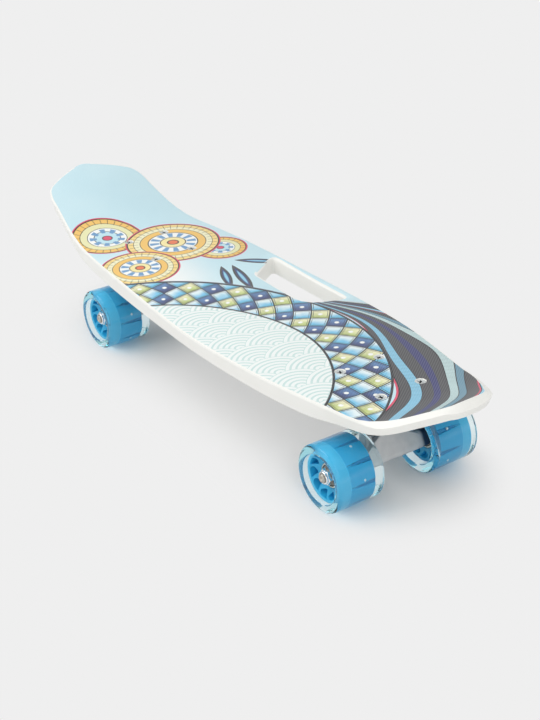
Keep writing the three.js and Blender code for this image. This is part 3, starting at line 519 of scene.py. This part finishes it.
def core_material():
    """Azure plastic: paler on the band and the rim, with painted shade down in the drum's grooves."""
    g = Graph("core_plastic")
    x, y, z = g.place()
    across = (x - MIDDLE_X).abs() - HALF_WHEELBASE
    up = z - AXLE_Z
    reach = (across * across + up * up).sqrt()
    along = y.abs() - HANGER_END
    cloud = g.noise(14.0)
    color = g.mix(cloud, "22A4D8", "38B6E4")
    color = g.mix(along.ramp(BAND_START - 1.0, BAND_START + 0.5) * (reach > FACE_RIM - 0.2), color,
                  g.mix(cloud, "46BAE6", "60C8EE"))
    # Painted shade: the drum's grooves below the panels turn darker blue 157AB2
    sunk = reach.ramp(DRUM_RADIUS - 0.2, DRUM_RADIUS - 0.9) * (reach > FACE_RIM) * (along < BAND_START - 0.5)
    g.look(color=g.mix(sunk * 0.7, color, "157AB2"), roughness=0.32)
    g.bump(g.noise(1.2), 0.02)
    return g.material


def light_material():
    """The whitish plastic of the small lights."""
    g = Graph("light_dome")
    g.look(color=g.mix(g.noise(0.6), "DDE6EA", "FFFFFF"), roughness=0.12)
    return g.material


def plain_material(name, dark, light, roughness):
    """Plastic or urethane with a fine mottle between two colours."""
    g = Graph(name)
    cloud = g.noise(3.0)
    g.look(color=g.mix(cloud, dark, light), roughness=cloud * 0.15 + roughness)
    g.bump(g.noise(0.75), 0.05)
    return g.material


MATERIALS = {
    "deck_plastic": deck_material(),
    "cast_metal": cast_material(),
    "bright_steel": steel_material("bright_steel", "D2D4D8", 0.12, 0.01),
    "zinc_steel": steel_material("zinc_steel", "B4B7BB", 0.3),
    "bolt": bolt_material(),
    "race": steel_material("race_steel", "E9DFC8", 0.16, 0.01),
    "nut": steel_material("nut_steel", "E4E6E8", 0.17, 0.01),
    "axle": steel_material("axle_steel", "C4B9A2", 0.26, 0.01),
    "brass": steel_material("brass_shield", "9A7C48", 0.25, 0.02),
    "bushing": plain_material("bushing_urethane", "10264E", "1B3A70", 0.4),
    "cup_plastic": plain_material("cup_plastic", "131416", "202226", 0.5),
    "clear_tyre": clear_material(),
    "core_plastic": core_material(),
    "light": light_material(),
    "magnet": steel_material("magnet_steel", "55585C", 0.45),
}


CAST_GRAIN, CAST_SMOOTHING, CAST_SOFTNESS = 0.6, 5, 0.5
WELD_REACH, SPLIT_ANGLE = 2e-5, 28.0


def dress(obj, material):
    """Gives an object that material alone."""
    obj.data.materials.clear()
    obj.data.materials.append(material)


for row in frame["record"]["subparts"]:
    node = NODES[row["node"]]
    dress(node, MATERIALS[row["material_slot"]])
    weld = node.modifiers.new("weld", "WELD")
    weld.merge_threshold = WELD_REACH
    split = node.modifiers.new("split", "EDGE_SPLIT")
    split.split_angle = math.radians(SPLIT_ANGLE)
    for polygon in node.data.polygons:
        polygon.use_smooth = True

# The castings have rounded edges and soft inner corners.
for truck in TRUCKS:
    for name in ("hanger", "baseplate"):
        node = NODES[f"{truck}_{name}"]
        node.modifiers.remove(node.modifiers["split"])
        cast = node.modifiers.new("cast", "REMESH")
        cast.mode = "VOXEL"
        cast.voxel_size = CAST_GRAIN * MM
        cast.use_smooth_shade = True
        soft = node.modifiers.new("soft", "SMOOTH")
        soft.factor = CAST_SOFTNESS
        soft.iterations = CAST_SMOOTHING


# Shapes: lists of points in millimetres of their own space, and the faces between them
def ring(along, reaches):
    """Points round the Y axis at equal turns, one for each distance from it."""
    step = 2 * math.pi / len(reaches)
    return [(r * math.cos(i * step), along, r * math.sin(i * step)) for i, r in enumerate(reaches)]


def strip(faces, low, high):
    """Adds the faces between two closed rows of as many points."""
    for i in range(len(low)):
        j = (i + 1) % len(low)
        faces.append((low[i], low[j], high[j], high[i]))


def skin(rings, closed=False, capped=False):
    """Faces between rings of as many points each, listed one ring after the other."""
    count = len(rings[0])
    points = [point for each in rings for point in each]
    faces = []
    for k in range(len(rings) if closed else len(rings) - 1):
        low, high = k * count, (k + 1) % len(rings) * count
        strip(faces, range(low, low + count), range(high, high + count))
    if capped:
        faces.append(tuple(range(count)))
        faces.append(tuple(range(len(points) - count, len(points))))
    return points, faces


def turned(profile, closed=False, capped=False, segments=SEGMENTS):
    """A profile of places (along, radius) turned about the Y axis."""
    return skin([ring(along, [radius] * segments) for along, radius in profile], closed, capped)


def rounded(corners, steps=5):
    """An open profile through corners (along, radius, size of the rounding there)."""
    made = [corners[0][:2]]
    for k in range(1, len(corners) - 1):
        size = corners[k][2]
        here = Vector(corners[k][:2])
        if size == 0:
            made.append(tuple(here))
            continue
        before = (Vector(corners[k - 1][:2]) - here).normalized()
        after = (Vector(corners[k + 1][:2]) - here).normalized()
        half = before.angle(after) / 2
        centre = here + (before + after).normalized() * (size / math.sin(half))
        start = here + before * (size / math.tan(half)) - centre
        end = here + after * (size / math.tan(half)) - centre
        for i in range(steps + 1):
            share = i / steps
            made.append(tuple(centre + (start * (1 - share) + end * share).normalized() * size))
    made.append(corners[-1][:2])
    return made


def piece(name, shape, space, material, body, nodes=()):
    """A smooth mesh object that rides on a body and stands for the nodes given."""
    points, faces = shape
    mesh = bpy.data.meshes.new(name)
    mesh.from_pydata([(space @ Vector(point)) * MM for point in points], [], faces)
    shell = bmesh.new()
    shell.from_mesh(mesh)
    bmesh.ops.recalc_face_normals(shell, faces=shell.faces)
    shell.to_mesh(mesh)
    shell.free()
    mesh.shade_smooth()
    mesh.set_sharp_from_angle(angle=math.radians(SHARP_ANGLE))
    obj = bpy.data.objects.new(name, mesh)
    bpy.context.scene.collection.objects.link(obj)
    dress(obj, MATERIALS[material])
    if body:
        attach(obj, body)
    if nodes:
        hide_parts(*nodes)
    return obj


def hexagon(across, limit):
    """Distances from the middle of a six-sided outline, none over the one given."""
    made = []
    for i in range(SEGMENTS):
        turn = (2 * math.pi * i / SEGMENTS) % (math.pi / 3) - math.pi / 6
        made.append(min(across / 2 / math.cos(turn), limit))
    return made


# Wheels, each in a space with Y outwards along the axle from the hanger's end
def groove(along):
    """Half the width of the drum's grooves, and their depth, at a place along the axle."""
    left = min(max((BAND_START - along) / (BAND_START - DRUM_START), 0.0), 1.0)
    return GROOVE_TIP + (GROOVE_HALF - GROOVE_TIP) * left, GROOVE_DEPTH * min(left * 2.5, 1.0)


def drum_ring(along, inset=0.0, stepped=False):
    """A ring of the drum's surface: panels with grooves between them, then a plain band."""
    half, depth = groove(along)
    reach = DRUM_RADIUS - inset - (STEP_DEPTH if stepped else 0.0)
    share = 2 * math.pi / GROOVES
    edge, foot = half / DRUM_RADIUS, 0.5 * half / DRUM_RADIUS
    plain = SEGMENTS // GROOVES - 4
    stations = [(-edge, 0.0), (-foot, depth), (foot, depth), (edge, 0.0)]
    stations += [(edge + (share - 2 * edge) * (k + 1) / (plain + 1), 0.0) for k in range(plain)]
    made = []
    for panel in range(GROOVES):
        for turn, sunk in stations:
            angle = math.radians(GROOVE_TURN) + panel * share + turn
            made.append(((reach - sunk) * math.cos(angle), along, (reach - sunk) * math.sin(angle)))
    return made


def drum_rings(inset=0.0):
    """The drum from its inner end to its outer end."""
    places = [DRUM_START + inset + (BAND_START - DRUM_START - inset) * share
              for share in (0, 0.2, 0.4, 0.6, 0.8, 1)]
    made = [drum_ring(along, inset) for along in places]
    for along in (BAND_START + 0.3, (BAND_START + DRUM_END) / 2, DRUM_END - inset):
        made.append(drum_ring(along, inset, stepped=True))
    return made


def tyre_shape():
    """The clear ring. Its inside lies a hair's breadth in the core, as cast onto it."""
    contact = 0.06
    lip = FACE_RADIUS + 0.1
    corners = [
        (DRUM_END - contact, lip, 0), (TYRE_END, lip, 0.9), (TYRE_END, WHEEL_RADIUS, TYRE_ROUND),
        (TYRE_START, WHEEL_RADIUS, TYRE_ROUND), (TYRE_START, lip, 0.9), (DRUM_START + contact, lip, 0),
    ]
    start = math.radians(GROOVE_TURN) - GROOVE_TIP / DRUM_RADIUS
    turn = Matrix.Rotation(-start, 3, "Y")
    outer = [[tuple(turn @ Vector(point)) for point in ring(along, [radius] * SEGMENTS)]
             for along, radius in rounded(corners)]
    return skin(drum_rings(contact) + outer, closed=True)


def pocket_edges(share):
    """Where a pocket's straight and bowed sides lie, as turns in degrees, at a share of its reach."""
    straight = -POCKET_LEAN * share
    bowed = (POCKET_TIP + (POCKET_WIDTH - POCKET_LEAN - POCKET_TIP) * share
             + 4 * POCKET_BOW * share * (1 - share))
    return straight, bowed


def dish(across_axle):
    """A face of the core: a dish with ten pockets, as rings from the hub's mouth to the rim.
    The function given turns a place along the axle on the outer face into that face's own."""
    inside, across, steps = POCKET_CELLS, WEB_CELLS, POCKET_STEPS
    sector = 360.0 / POCKETS
    points, faces = [], []

    def place(radius, degrees, along):
        angle = math.radians(degrees + POCKET_TURN)
        points.append((radius * math.cos(angle), across_axle(along), radius * math.sin(angle)))
        return len(points) - 1

    def height(radius):
        return MOUTH + (FACE - MOUTH) * (radius - MOUTH_RADIUS) / (FACE_RIM - MOUTH_RADIUS)

    def even_ring(radius, lean, along):
        return [place(radius, s * sector + lean + k * sector / (inside + across), along)
                for s in range(POCKETS) for k in range(inside + across)]

    tops = []
    for k in range(steps + 1):
        share = k / steps
        radius = POCKET_START + (POCKET_END - POCKET_START) * share
        straight, bowed = pocket_edges(share)
        row = []
        for s in range(POCKETS):
            turns = [straight + (bowed - straight) * i / inside for i in range(inside + 1)]
            turns += [bowed + (straight + sector - bowed) * i / across for i in range(1, across)]
            kept = [i in (0, inside) or i > inside or k in (0, steps) for i in range(len(turns))]
            row += [place(radius, s * sector + t, height(radius)) if keep else None
                    for t, keep in zip(turns, kept)]
        tops.append(row)
    count = len(tops[0])
    for low, high in zip(tops, tops[1:]):
        for s in range(POCKETS):
            for i in range(inside, inside + across):
                a, b = s * (inside + across) + i, (s * (inside + across) + i + 1) % count
                faces.append((low[a], low[b], high[b], high[a]))
    for s in range(POCKETS):
        floor = []
        for k in range(steps + 1):
            share = k / steps
            inner = 0.5 + (share - 0.5) * FLOOR_SHARE
            radius = POCKET_START + (POCKET_END - POCKET_START) * inner
            straight, bowed = pocket_edges(inner)
            narrow = (bowed - straight) * FLOOR_INSET
            turns = [s * sector + straight + narrow + (bowed - straight - 2 * narrow) * i / inside
                     for i in range(inside + 1)]
            floor.append([place(radius, turn, POCKET_FLOOR) for turn in turns])
        for low, high in zip(floor, floor[1:]):
            for i in range(inside):
                faces.append((low[i], low[i + 1], high[i + 1], high[i]))
        first = s * (inside + across)
        for k in range(steps):
            for side in (0, inside):
                faces.append((tops[k][first + side], tops[k + 1][first + side],
                              floor[k + 1][side], floor[k][side]))
        for end in (0, steps):
            for i in range(inside):
                faces.append((tops[end][first + i], tops[end][first + i + 1],
                              floor[end][i + 1], floor[end][i]))
    mouth = even_ring(MOUTH_RADIUS, -MOUTH_LEAN, MOUTH)
    rim = even_ring(FACE_RIM, -POCKET_LEAN, FACE)
    strip(faces, mouth, tops[0])
    strip(faces, tops[-1], rim)
    return points, faces, mouth, rim


def back_place(along):
    """Where a place of the outer face lies on the shallower inner face."""
    return DRUM_START + (FACE - along) * BACK_DEPTH


def core_shape():
    """The core: its two dishes, its rim, the drum, and the bore with two bearing seats."""
    points, faces, mouth, rim = dish(lambda along: along)
    back_points, back_faces, back_mouth, back_rim = dish(back_place)
    count = len(points)
    points += back_points
    faces += [tuple(count + i for i in face) for face in back_faces]
    drum = drum_rings()

    def add(ring_points):
        start = len(points)
        points.extend(ring_points)
        return list(range(start, len(points)))

    def leaning(along, radius, degrees):
        turn = Matrix.Rotation(-math.radians(degrees), 3, "Y")
        return [tuple(turn @ Vector(point)) for point in ring(along, [radius] * SEGMENTS)]

    lean = POCKET_TURN - POCKET_LEAN
    outside = [rim]
    edge = [(FACE, FACE_RIM, 0), (DRUM_END, FACE_RIM + 0.5, 0.25), (DRUM_END, DRUM_RADIUS - STEP_DEPTH, 0)]
    for along, radius in rounded(edge, 3)[1:]:
        outside.append(add(leaning(along, radius, lean)))
    outside += [add(each) for each in reversed(drum)]
    outside += [add(leaning(DRUM_START, FACE_RIM + 0.5, lean)), [count + i for i in back_rim]]
    bore = [mouth]
    outer, inner = BEARINGS["outer"], BEARINGS["inner"] + BEARING_WIDTH
    seats = [
        (MOUTH - 0.5, SEAT_RADIUS), (outer - 0.3, SEAT_RADIUS), (outer - 0.3, SHOULDER_RADIUS),
        (inner + 0.3, SHOULDER_RADIUS), (inner + 0.3, SEAT_RADIUS), (back_place(MOUTH) + 0.3, SEAT_RADIUS),
    ]
    for along, radius in seats:
        bore.append(add(leaning(along, radius, POCKET_TURN - MOUTH_LEAN)))
    bore.append([count + i for i in back_mouth])
    for chain in (outside, bore):
        for low, high in zip(chain, chain[1:]):
            strip(faces, low, high)
    return points, faces


def bearing_shapes(start, facing):
    """A bearing's two races, and the shield between them on the side that faces out."""
    end = start + BEARING_WIDTH
    low, high = (start, end) if facing > 0 else (end, start)
    ease, sink = 0.35 * facing, 0.45 * facing
    outer = [(low, BEARING_RADIUS - 0.4), (low + ease, BEARING_RADIUS), (high - ease, BEARING_RADIUS),
             (high, BEARING_RADIUS - 0.4), (high, RACE), (high - 2 * sink, RACE), (low, RACE)]
    inner = [(low, SHIELD_START - 0.2), (high - 2 * sink, SHIELD_START - 0.2), (high, SHIELD_START - 0.2),
             (high, BORE + 0.3), (high - ease, BORE), (low, BORE)]
    shield = [(high - sink, SHIELD_END - 0.2), (high - sink, SHIELD_END - 0.7),
              (high - 2 * sink, SHIELD_END - 1.3), (high - 2 * sink, SHIELD_START + 0.6),
              (high - sink, SHIELD_START + 0.3), (high - 2 * sink, SHIELD_START),
              (low + 2 * sink, SHIELD_START), (low + 2 * sink, SHIELD_END), (high - 1.5 * sink, SHIELD_END)]
    return turned(outer, closed=True), turned(inner, closed=True), turned(shield, closed=True)


def nut_shape():
    """A six-sided nut with turned corners and a round collar at its outer end."""
    corner = NUT_ACROSS / 2 / math.cos(math.pi / 6)
    end = NUT_START + NUT_HEIGHT
    hexes = end - COLLAR_HEIGHT
    bore = AXLE_RADIUS + 0.15
    outline = [(NUT_START, NUT_ACROSS / 2 - 0.1), (NUT_START + 0.4, corner)]
    for k in range(5):
        inset = (corner - NUT_ACROSS / 2 + 0.15) * k / 4
        outline.append((hexes - 0.65 + inset * math.tan(math.radians(30)), corner - inset))
    rings = [ring(along, hexagon(NUT_ACROSS, reach)) for along, reach in outline]
    collar = NUT_ACROSS / 2 - 0.5
    top = [
        (hexes + 0.05, collar), (end - 0.8, collar), (end - 0.25, collar - 0.35), (end, collar - 0.8),
        (end - 0.2, collar - 1.05), (end - 1.7, bore + 0.45), (end - 1.8, bore), (NUT_START, bore),
    ]
    for along, radius in top:
        rings.append(ring(along, [radius] * SEGMENTS))
    return skin(rings, closed=True)


def axle_shape():
    """The axle from end to end, with turned ends, centre holes and the last threads."""
    half = [(HANGER_END - 12.0, AXLE_RADIUS)]
    thread = HANGER_END + NUT_START + NUT_HEIGHT - THREAD_START
    end = HANGER_END + AXLE_END
    while thread < end - 1.4:
        half += [(thread, AXLE_RADIUS), (thread + 0.3, AXLE_RADIUS - THREAD_DEPTH), (thread + 0.6, AXLE_RADIUS)]
        thread += THREAD_PITCH
    half += [(end - 0.7, AXLE_RADIUS), (end, AXLE_RADIUS - 0.8), (end, 1.7), (end - 1.1, 0.5), (end - 1.6, 0.3)]
    return turned([(-along, radius) for along, radius in reversed(half)] + half, capped=True, segments=48)


def light_shape():
    """The small lights: domes on the drum between its grooves."""
    points, faces = [], []
    for k in range(LIGHTS):
        angle = math.radians(LIGHT_TURN + 360.0 / LIGHTS * k)
        out = Vector((math.cos(angle), 0.0, math.sin(angle)))
        aside = Vector((-math.sin(angle), 0.0, math.cos(angle)))
        dome, between = turned([(LIGHT_RADIUS * math.sin(a) - 0.4, LIGHT_RADIUS * math.cos(a))
                                for a in (0.0, 0.4, 0.8, 1.2, 1.5)], capped=True, segments=16)
        start = len(points)
        for x, up, z in dome:
            points.append(tuple(out * (DRUM_RADIUS + up) + aside * x + Vector((0, LIGHT_PLACE + z, 0))))
        faces += [tuple(start + i for i in face) for face in between]
    return points, faces


def build_wheels():
    """Each wheel's tyre, core, lights, bearings and nut, and the axle of each truck."""
    for truck in TRUCKS:
        for hand in HANDS:
            wheel = f"{truck}_{hand}"
            side = 0.0 if hand == "left" else math.pi
            space = (Matrix.Translation(AXLES[truck]) @ Matrix.Rotation(side, 4, "Z")
                     @ Matrix.Translation((0, HANGER_END, 0)))
            spun = space @ Matrix.Rotation(-math.radians(WHEEL_TURNS[wheel]), 4, "Y")
            body = f"{wheel}_wheel"
            piece(f"{wheel}_clear_tyre", tyre_shape(), spun, "clear_tyre", body, [f"{wheel}_tyre"])
            piece(f"{wheel}_lit_core", core_shape(), spun, "core_plastic", body, [f"{wheel}_core"])
            piece(f"{wheel}_lights", light_shape(), spun, "light", body)
            for place, facing in (("outer", 1), ("inner", -1)):
                outer, inner, shield = bearing_shapes(BEARINGS[place], facing)
                name = f"{wheel}_{place}"
                piece(f"{name}_outer_race", outer, spun, "race", body, [f"{name}_bearing"])
                piece(f"{name}_inner_race", inner, spun, "bright_steel", body)
                piece(f"{name}_shield", shield, spun, "brass", body)
            piece(f"{wheel}_hex_nut", nut_shape(), space, "nut", f"{truck}_truck",
                  [f"{wheel}_axle_nut"])
        piece(f"{truck}_turned_axle", axle_shape(), Matrix.Translation(AXLES[truck]), "axle",
              f"{truck}_truck", [f"{truck}_axle"])


# Bolts and bushings
def bolt_shape():
    """A countersunk bolt with a cross recess, with Y up and its head's top at 0."""
    count = 48
    reach = [min(RECESS_REACH, RECESS_HALF / max(abs(math.sin(2 * t)) / 2, 0.12)) for t in
             (2 * math.pi * i / count for i in range(count))]
    shrink = [r * 0.62 for r in reach]
    rings = [ring(-BOLT_LENGTH, [0.3] * count), ring(-BOLT_LENGTH, [SHANK_RADIUS - 0.4] * count),
             ring(-BOLT_LENGTH + 0.5, [SHANK_RADIUS] * count), ring(-HEAD_DEPTH, [SHANK_RADIUS] * count),
             ring(-0.65, [HEAD_RADIUS - 0.1] * count), ring(-0.5, [HEAD_RADIUS] * count),
             ring(-0.08, [HEAD_RADIUS - 0.9] * count), ring(0.0, [HEAD_RADIUS - 1.15] * count),
             ring(0.0, [r + 0.25 for r in reach]),
             ring(-0.2, reach), ring(-RECESS_DEPTH, shrink), ring(-RECESS_DEPTH, [0.2] * count)]
    return skin(rings, capped=True)


def build_bolts():
    """The eight truck bolts. Each cross recess is turned another way."""
    shape = bolt_shape()
    for k in range(1, 9):
        low, high = node_box(f"deck_bolt_{k}")
        top = Vector(((low.x + high.x) / 2, (low.y + high.y) / 2, high.z))
        turn = Matrix.Rotation(math.radians(BOLT_TURN * k), 4, "Z") @ Matrix.Rotation(math.pi / 2, 4, "X")
        piece(f"cross_bolt_{k}", shape, Matrix.Translation(top) @ turn, "bolt", "board",
              [f"deck_bolt_{k}"])


def build_bushings():
    """Bushings between the board and the hanger's ring."""
    for truck in TRUCKS:
        joint = STEERING[truck]
        ring_centre = Vector(joint["pos_m"]) / MM
        steer = Vector(joint["axis"])
        pin = Vector((0, 1, 0)).cross(steer).normalized()
        if pin.z < 0:
            pin = -pin
        space = Matrix.Translation(ring_centre) @ pin.to_track_quat("Y", "Z").to_matrix().to_4x4()
        for place, (ends, radii, bulge) in BUSHINGS.items():
            wall = []
            for i in range(BUSHING_STEPS + 1):
                share = i / BUSHING_STEPS
                swell = bulge * math.sin(math.pi * share)
                wall.append((ends[0] + (ends[1] - ends[0]) * share,
                             radii[0] + (radii[1] - radii[0]) * share + swell))
            for end in (0, -1):
                wall[end] = (wall[end][0], wall[end][1] - BUSHING_EASE)
            profile = wall + [(ends[1], KINGPIN_BORE), (ends[0], KINGPIN_BORE)]
            made = piece(f"{truck}_{place}_cushion", turned(profile, closed=True, segments=64), space, "bushing",
                         None, [f"{truck}_{place}_bushing"])
            held, moving = (ends[1], ends[0]) if place == "upper" else (ends[0], ends[1])
            tuple((space @ Vector((0, held, 0))) * MM)
            tuple((space @ Vector((0, moving, 0))) * MM)
            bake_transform(made)


def build_pad_wedge():
    """Plastic that fills the slot between the front base plate and the deck, which rises towards the nose."""
    low, high = WEDGE
    layers = ((high.z, 0.0), (low.z + WEDGE_ROUND, 0.0), (low.z + 0.3 * WEDGE_ROUND, 0.3 * WEDGE_ROUND),
              (low.z, WEDGE_ROUND))
    rings = []
    for height, inset in layers:
        half = (high - low) / 2 - Vector((inset, inset, 0))
        rings.append([])
        for k in range(WEDGE_POINTS):
            turn = 2 * math.pi * k / WEDGE_POINTS
            x, y = [abs(side) ** WEDGE_POWER * math.copysign(1, side) for side in (math.cos(turn), math.sin(turn))]
            rings[-1].append(((low.x + high.x) / 2 + x * half.x, y * half.y, height))
    piece("front_pad_wedge", skin(rings, capped=True), Matrix.Identity(4), "deck_plastic", "board")


build_wheels()
build_bolts()
build_bushings()
build_pad_wedge()


# Stage, lamps and camera
SHADOW_LENGTH, SHADOW_REACH = 200.0, (48.0, 118.0)
SHADOW_SOFTENING, SHADOW_CORE = 0.38, (30.0, 100.0)
SHADOW_THROUGH = 0.7
FLOOR_COLORS = ("EFEFEF", "F0F0F0")
PALE = "EFEFEF"
STAGE_REACH, STAGE_BACK, STAGE_HEIGHT, STAGE_BEND, STAGE_STEPS = 4.0, 3.2, 3.0, 1.2, 16  # metres
STAGE_TURN = 146.3
SKY_LOW, SKY_HIGH, SKY_COLOR = 0.54, 0.7, (1.0, 0.995, 0.98, 1.0)
LAMPS = (  # name, place, size, power
    ("key", (-0.6, -1.0, 1.6), (1.4, 1.4), 14.0),
    ("fill", (1.5, -0.6, 1.3), (1.2, 1.2), 7.0),
)
CAMERA_AZIMUTH, CAMERA_ELEVATION, CAMERA_ROLL = 0.9826, 0.4871, -0.0415
CAMERA_FOCAL, CAMERA_DISTANCE = 1396.24, 1257.46  # in the photograph's pixels, and in millimetres
CAMERA_TARGET = (40.08, -17.09, 60.0)
PHOTO_HEIGHT, SENSOR = 720.0, 36.0


def make_stage():
    """A floor that bends up into a backdrop behind the board."""
    floor_mesh = bpy.data.meshes.new("floor")
    profile = [(-STAGE_REACH, 0.0)]
    for i in range(STAGE_STEPS + 1):
        angle = math.pi / 2 * i / STAGE_STEPS
        profile.append((STAGE_BACK + STAGE_BEND * math.sin(angle), STAGE_BEND * (1 - math.cos(angle))))
    profile.append((STAGE_BACK + STAGE_BEND, STAGE_HEIGHT))
    points, faces = [], []
    for along, up in profile:
        points += [(along, -STAGE_REACH, up), (along, STAGE_REACH, up)]
    for i in range(len(profile) - 1):
        faces.append((2 * i, 2 * i + 1, 2 * i + 3, 2 * i + 2))
    turn = Matrix.Rotation(math.radians(STAGE_TURN), 3, "Z")
    floor_mesh.from_pydata([turn @ Vector(p) for p in points], [], faces)
    floor = bpy.data.objects.new("floor", floor_mesh)
    bpy.context.scene.collection.objects.link(floor)
    for polygon in floor_mesh.polygons:
        polygon.use_smooth = True
    floor_mesh.materials.append(floor_material())


def floor_material():
    """Pale floor that keeps the shadow near the board and shows as one flat tone further away."""
    g = Graph("floor")
    x, y, z = g.place()
    g.look(color=g.mix(g.noise(300.0), *FLOOR_COLORS), roughness=0.9, specular=0.1)
    even = g.node("ShaderNodeEmission")
    even.inputs["Color"].default_value = linear(PALE)
    rays = g.node("ShaderNodeLightPath")
    through = Value(g, rays.outputs["Is Transmission Ray"])
    direct = Value(g, rays.outputs["Is Camera Ray"]) + Value(g, rays.outputs["Is Glossy Ray"])
    seen = (direct + through).least(1.0)
    beyond = (x.abs() - SHADOW_LENGTH).most(0.0)
    away = (beyond * beyond + y * y + z * z).sqrt().ramp(*SHADOW_REACH)
    along = (x - MIDDLE_X).abs() - HALF_WHEELBASE
    across = y.abs() - (HANGER_END + (TYRE_START + TYRE_END) / 2)
    softened = (along * along + across * across).sqrt().ramp(*SHADOW_CORE) * SHADOW_SOFTENING
    mixed = g.node("ShaderNodeMixShader")
    g.put(mixed.inputs[0], seen * (softened + (1.0 - softened) * away).most(through * SHADOW_THROUGH))
    g.put(mixed.inputs[1], g.shader.outputs[0])
    g.put(mixed.inputs[2], even.outputs[0])
    g.put(g.output.inputs["Surface"], mixed.outputs[0])
    return g.material


def make_lamp(name, place, size, power):
    """A square soft lamp that points at the middle of the board."""
    light = bpy.data.lights.new(name, "AREA")
    light.shape = "RECTANGLE"
    light.size, light.size_y = size
    light.energy = power
    lamp = bpy.data.objects.new(name, light)
    lamp.location = place
    lamp.rotation_mode = "QUATERNION"
    lamp.rotation_quaternion = (-Vector(place)).to_track_quat("-Z", "Y")
    bpy.context.scene.collection.objects.link(lamp)


class Sky(Graph):
    """The world's node tree, with the same formulas as a material's."""

    def __init__(self, world):
        world.use_nodes = True
        self.tree = world.node_tree
        self.background = self.tree.nodes["Background"]


def make_world():
    """Soft light all round, stronger from above. Gloss sees soft boxes, and the camera sees a pale studio."""
    world = bpy.data.worlds.new("studio")
    bpy.context.scene.world = world
    g = Sky(world)
    split = g.node("ShaderNodeSeparateXYZ")
    g.put(split.inputs[0], g.node("ShaderNodeTexCoord").outputs["Generated"])
    side, up = Value(g, split.outputs["X"]), Value(g, split.outputs["Z"])
    soft = (up + 0.1).most(0.0).least(1.0) * (SKY_HIGH - SKY_LOW) + SKY_LOW
    boxes = ((up * 6.0 + side * 2.0).sin() + 0.4).most(0.0).least(1.0) + 0.25
    rays = g.node("ShaderNodeLightPath")
    glossy = Value(g, rays.outputs["Is Glossy Ray"])
    direct = Value(g, rays.outputs["Is Camera Ray"]) + Value(g, rays.outputs["Is Transmission Ray"])
    seen = direct.least(1.0)
    light = soft + (boxes - soft) * glossy
    g.put(g.background.inputs["Strength"], light + (1.0 - light) * seen)
    g.put(g.background.inputs["Color"], g.mix(seen, SKY_COLOR, PALE))


def make_camera():
    """The camera at the photograph's viewing angle."""
    target = Vector((MIDDLE_X + CAMERA_TARGET[0], CAMERA_TARGET[1], CAMERA_TARGET[2]))
    level = math.cos(CAMERA_ELEVATION)
    back = Vector((math.sin(CAMERA_AZIMUTH) * level, -math.cos(CAMERA_AZIMUTH) * level, math.sin(CAMERA_ELEVATION)))
    right = Vector((0, 0, 1)).cross(back).normalized()
    up = back.cross(right)
    c, s = math.cos(CAMERA_ROLL), math.sin(CAMERA_ROLL)
    axes = Matrix((c * right + s * up, -s * right + c * up, back)).transposed()
    data = bpy.data.cameras.new("camera")
    data.sensor_width = SENSOR
    data.lens = CAMERA_FOCAL / PHOTO_HEIGHT * SENSOR
    camera = bpy.data.objects.new("camera", data)
    camera.matrix_world = Matrix.Translation((target + CAMERA_DISTANCE * back) * MM) @ axes.to_4x4()
    bpy.context.scene.collection.objects.link(camera)
    bpy.context.scene.camera = camera


make_stage()
make_world()
for lamp in LAMPS:
    make_lamp(*lamp)
make_camera()
bpy.context.scene.view_settings.view_transform = "Standard"
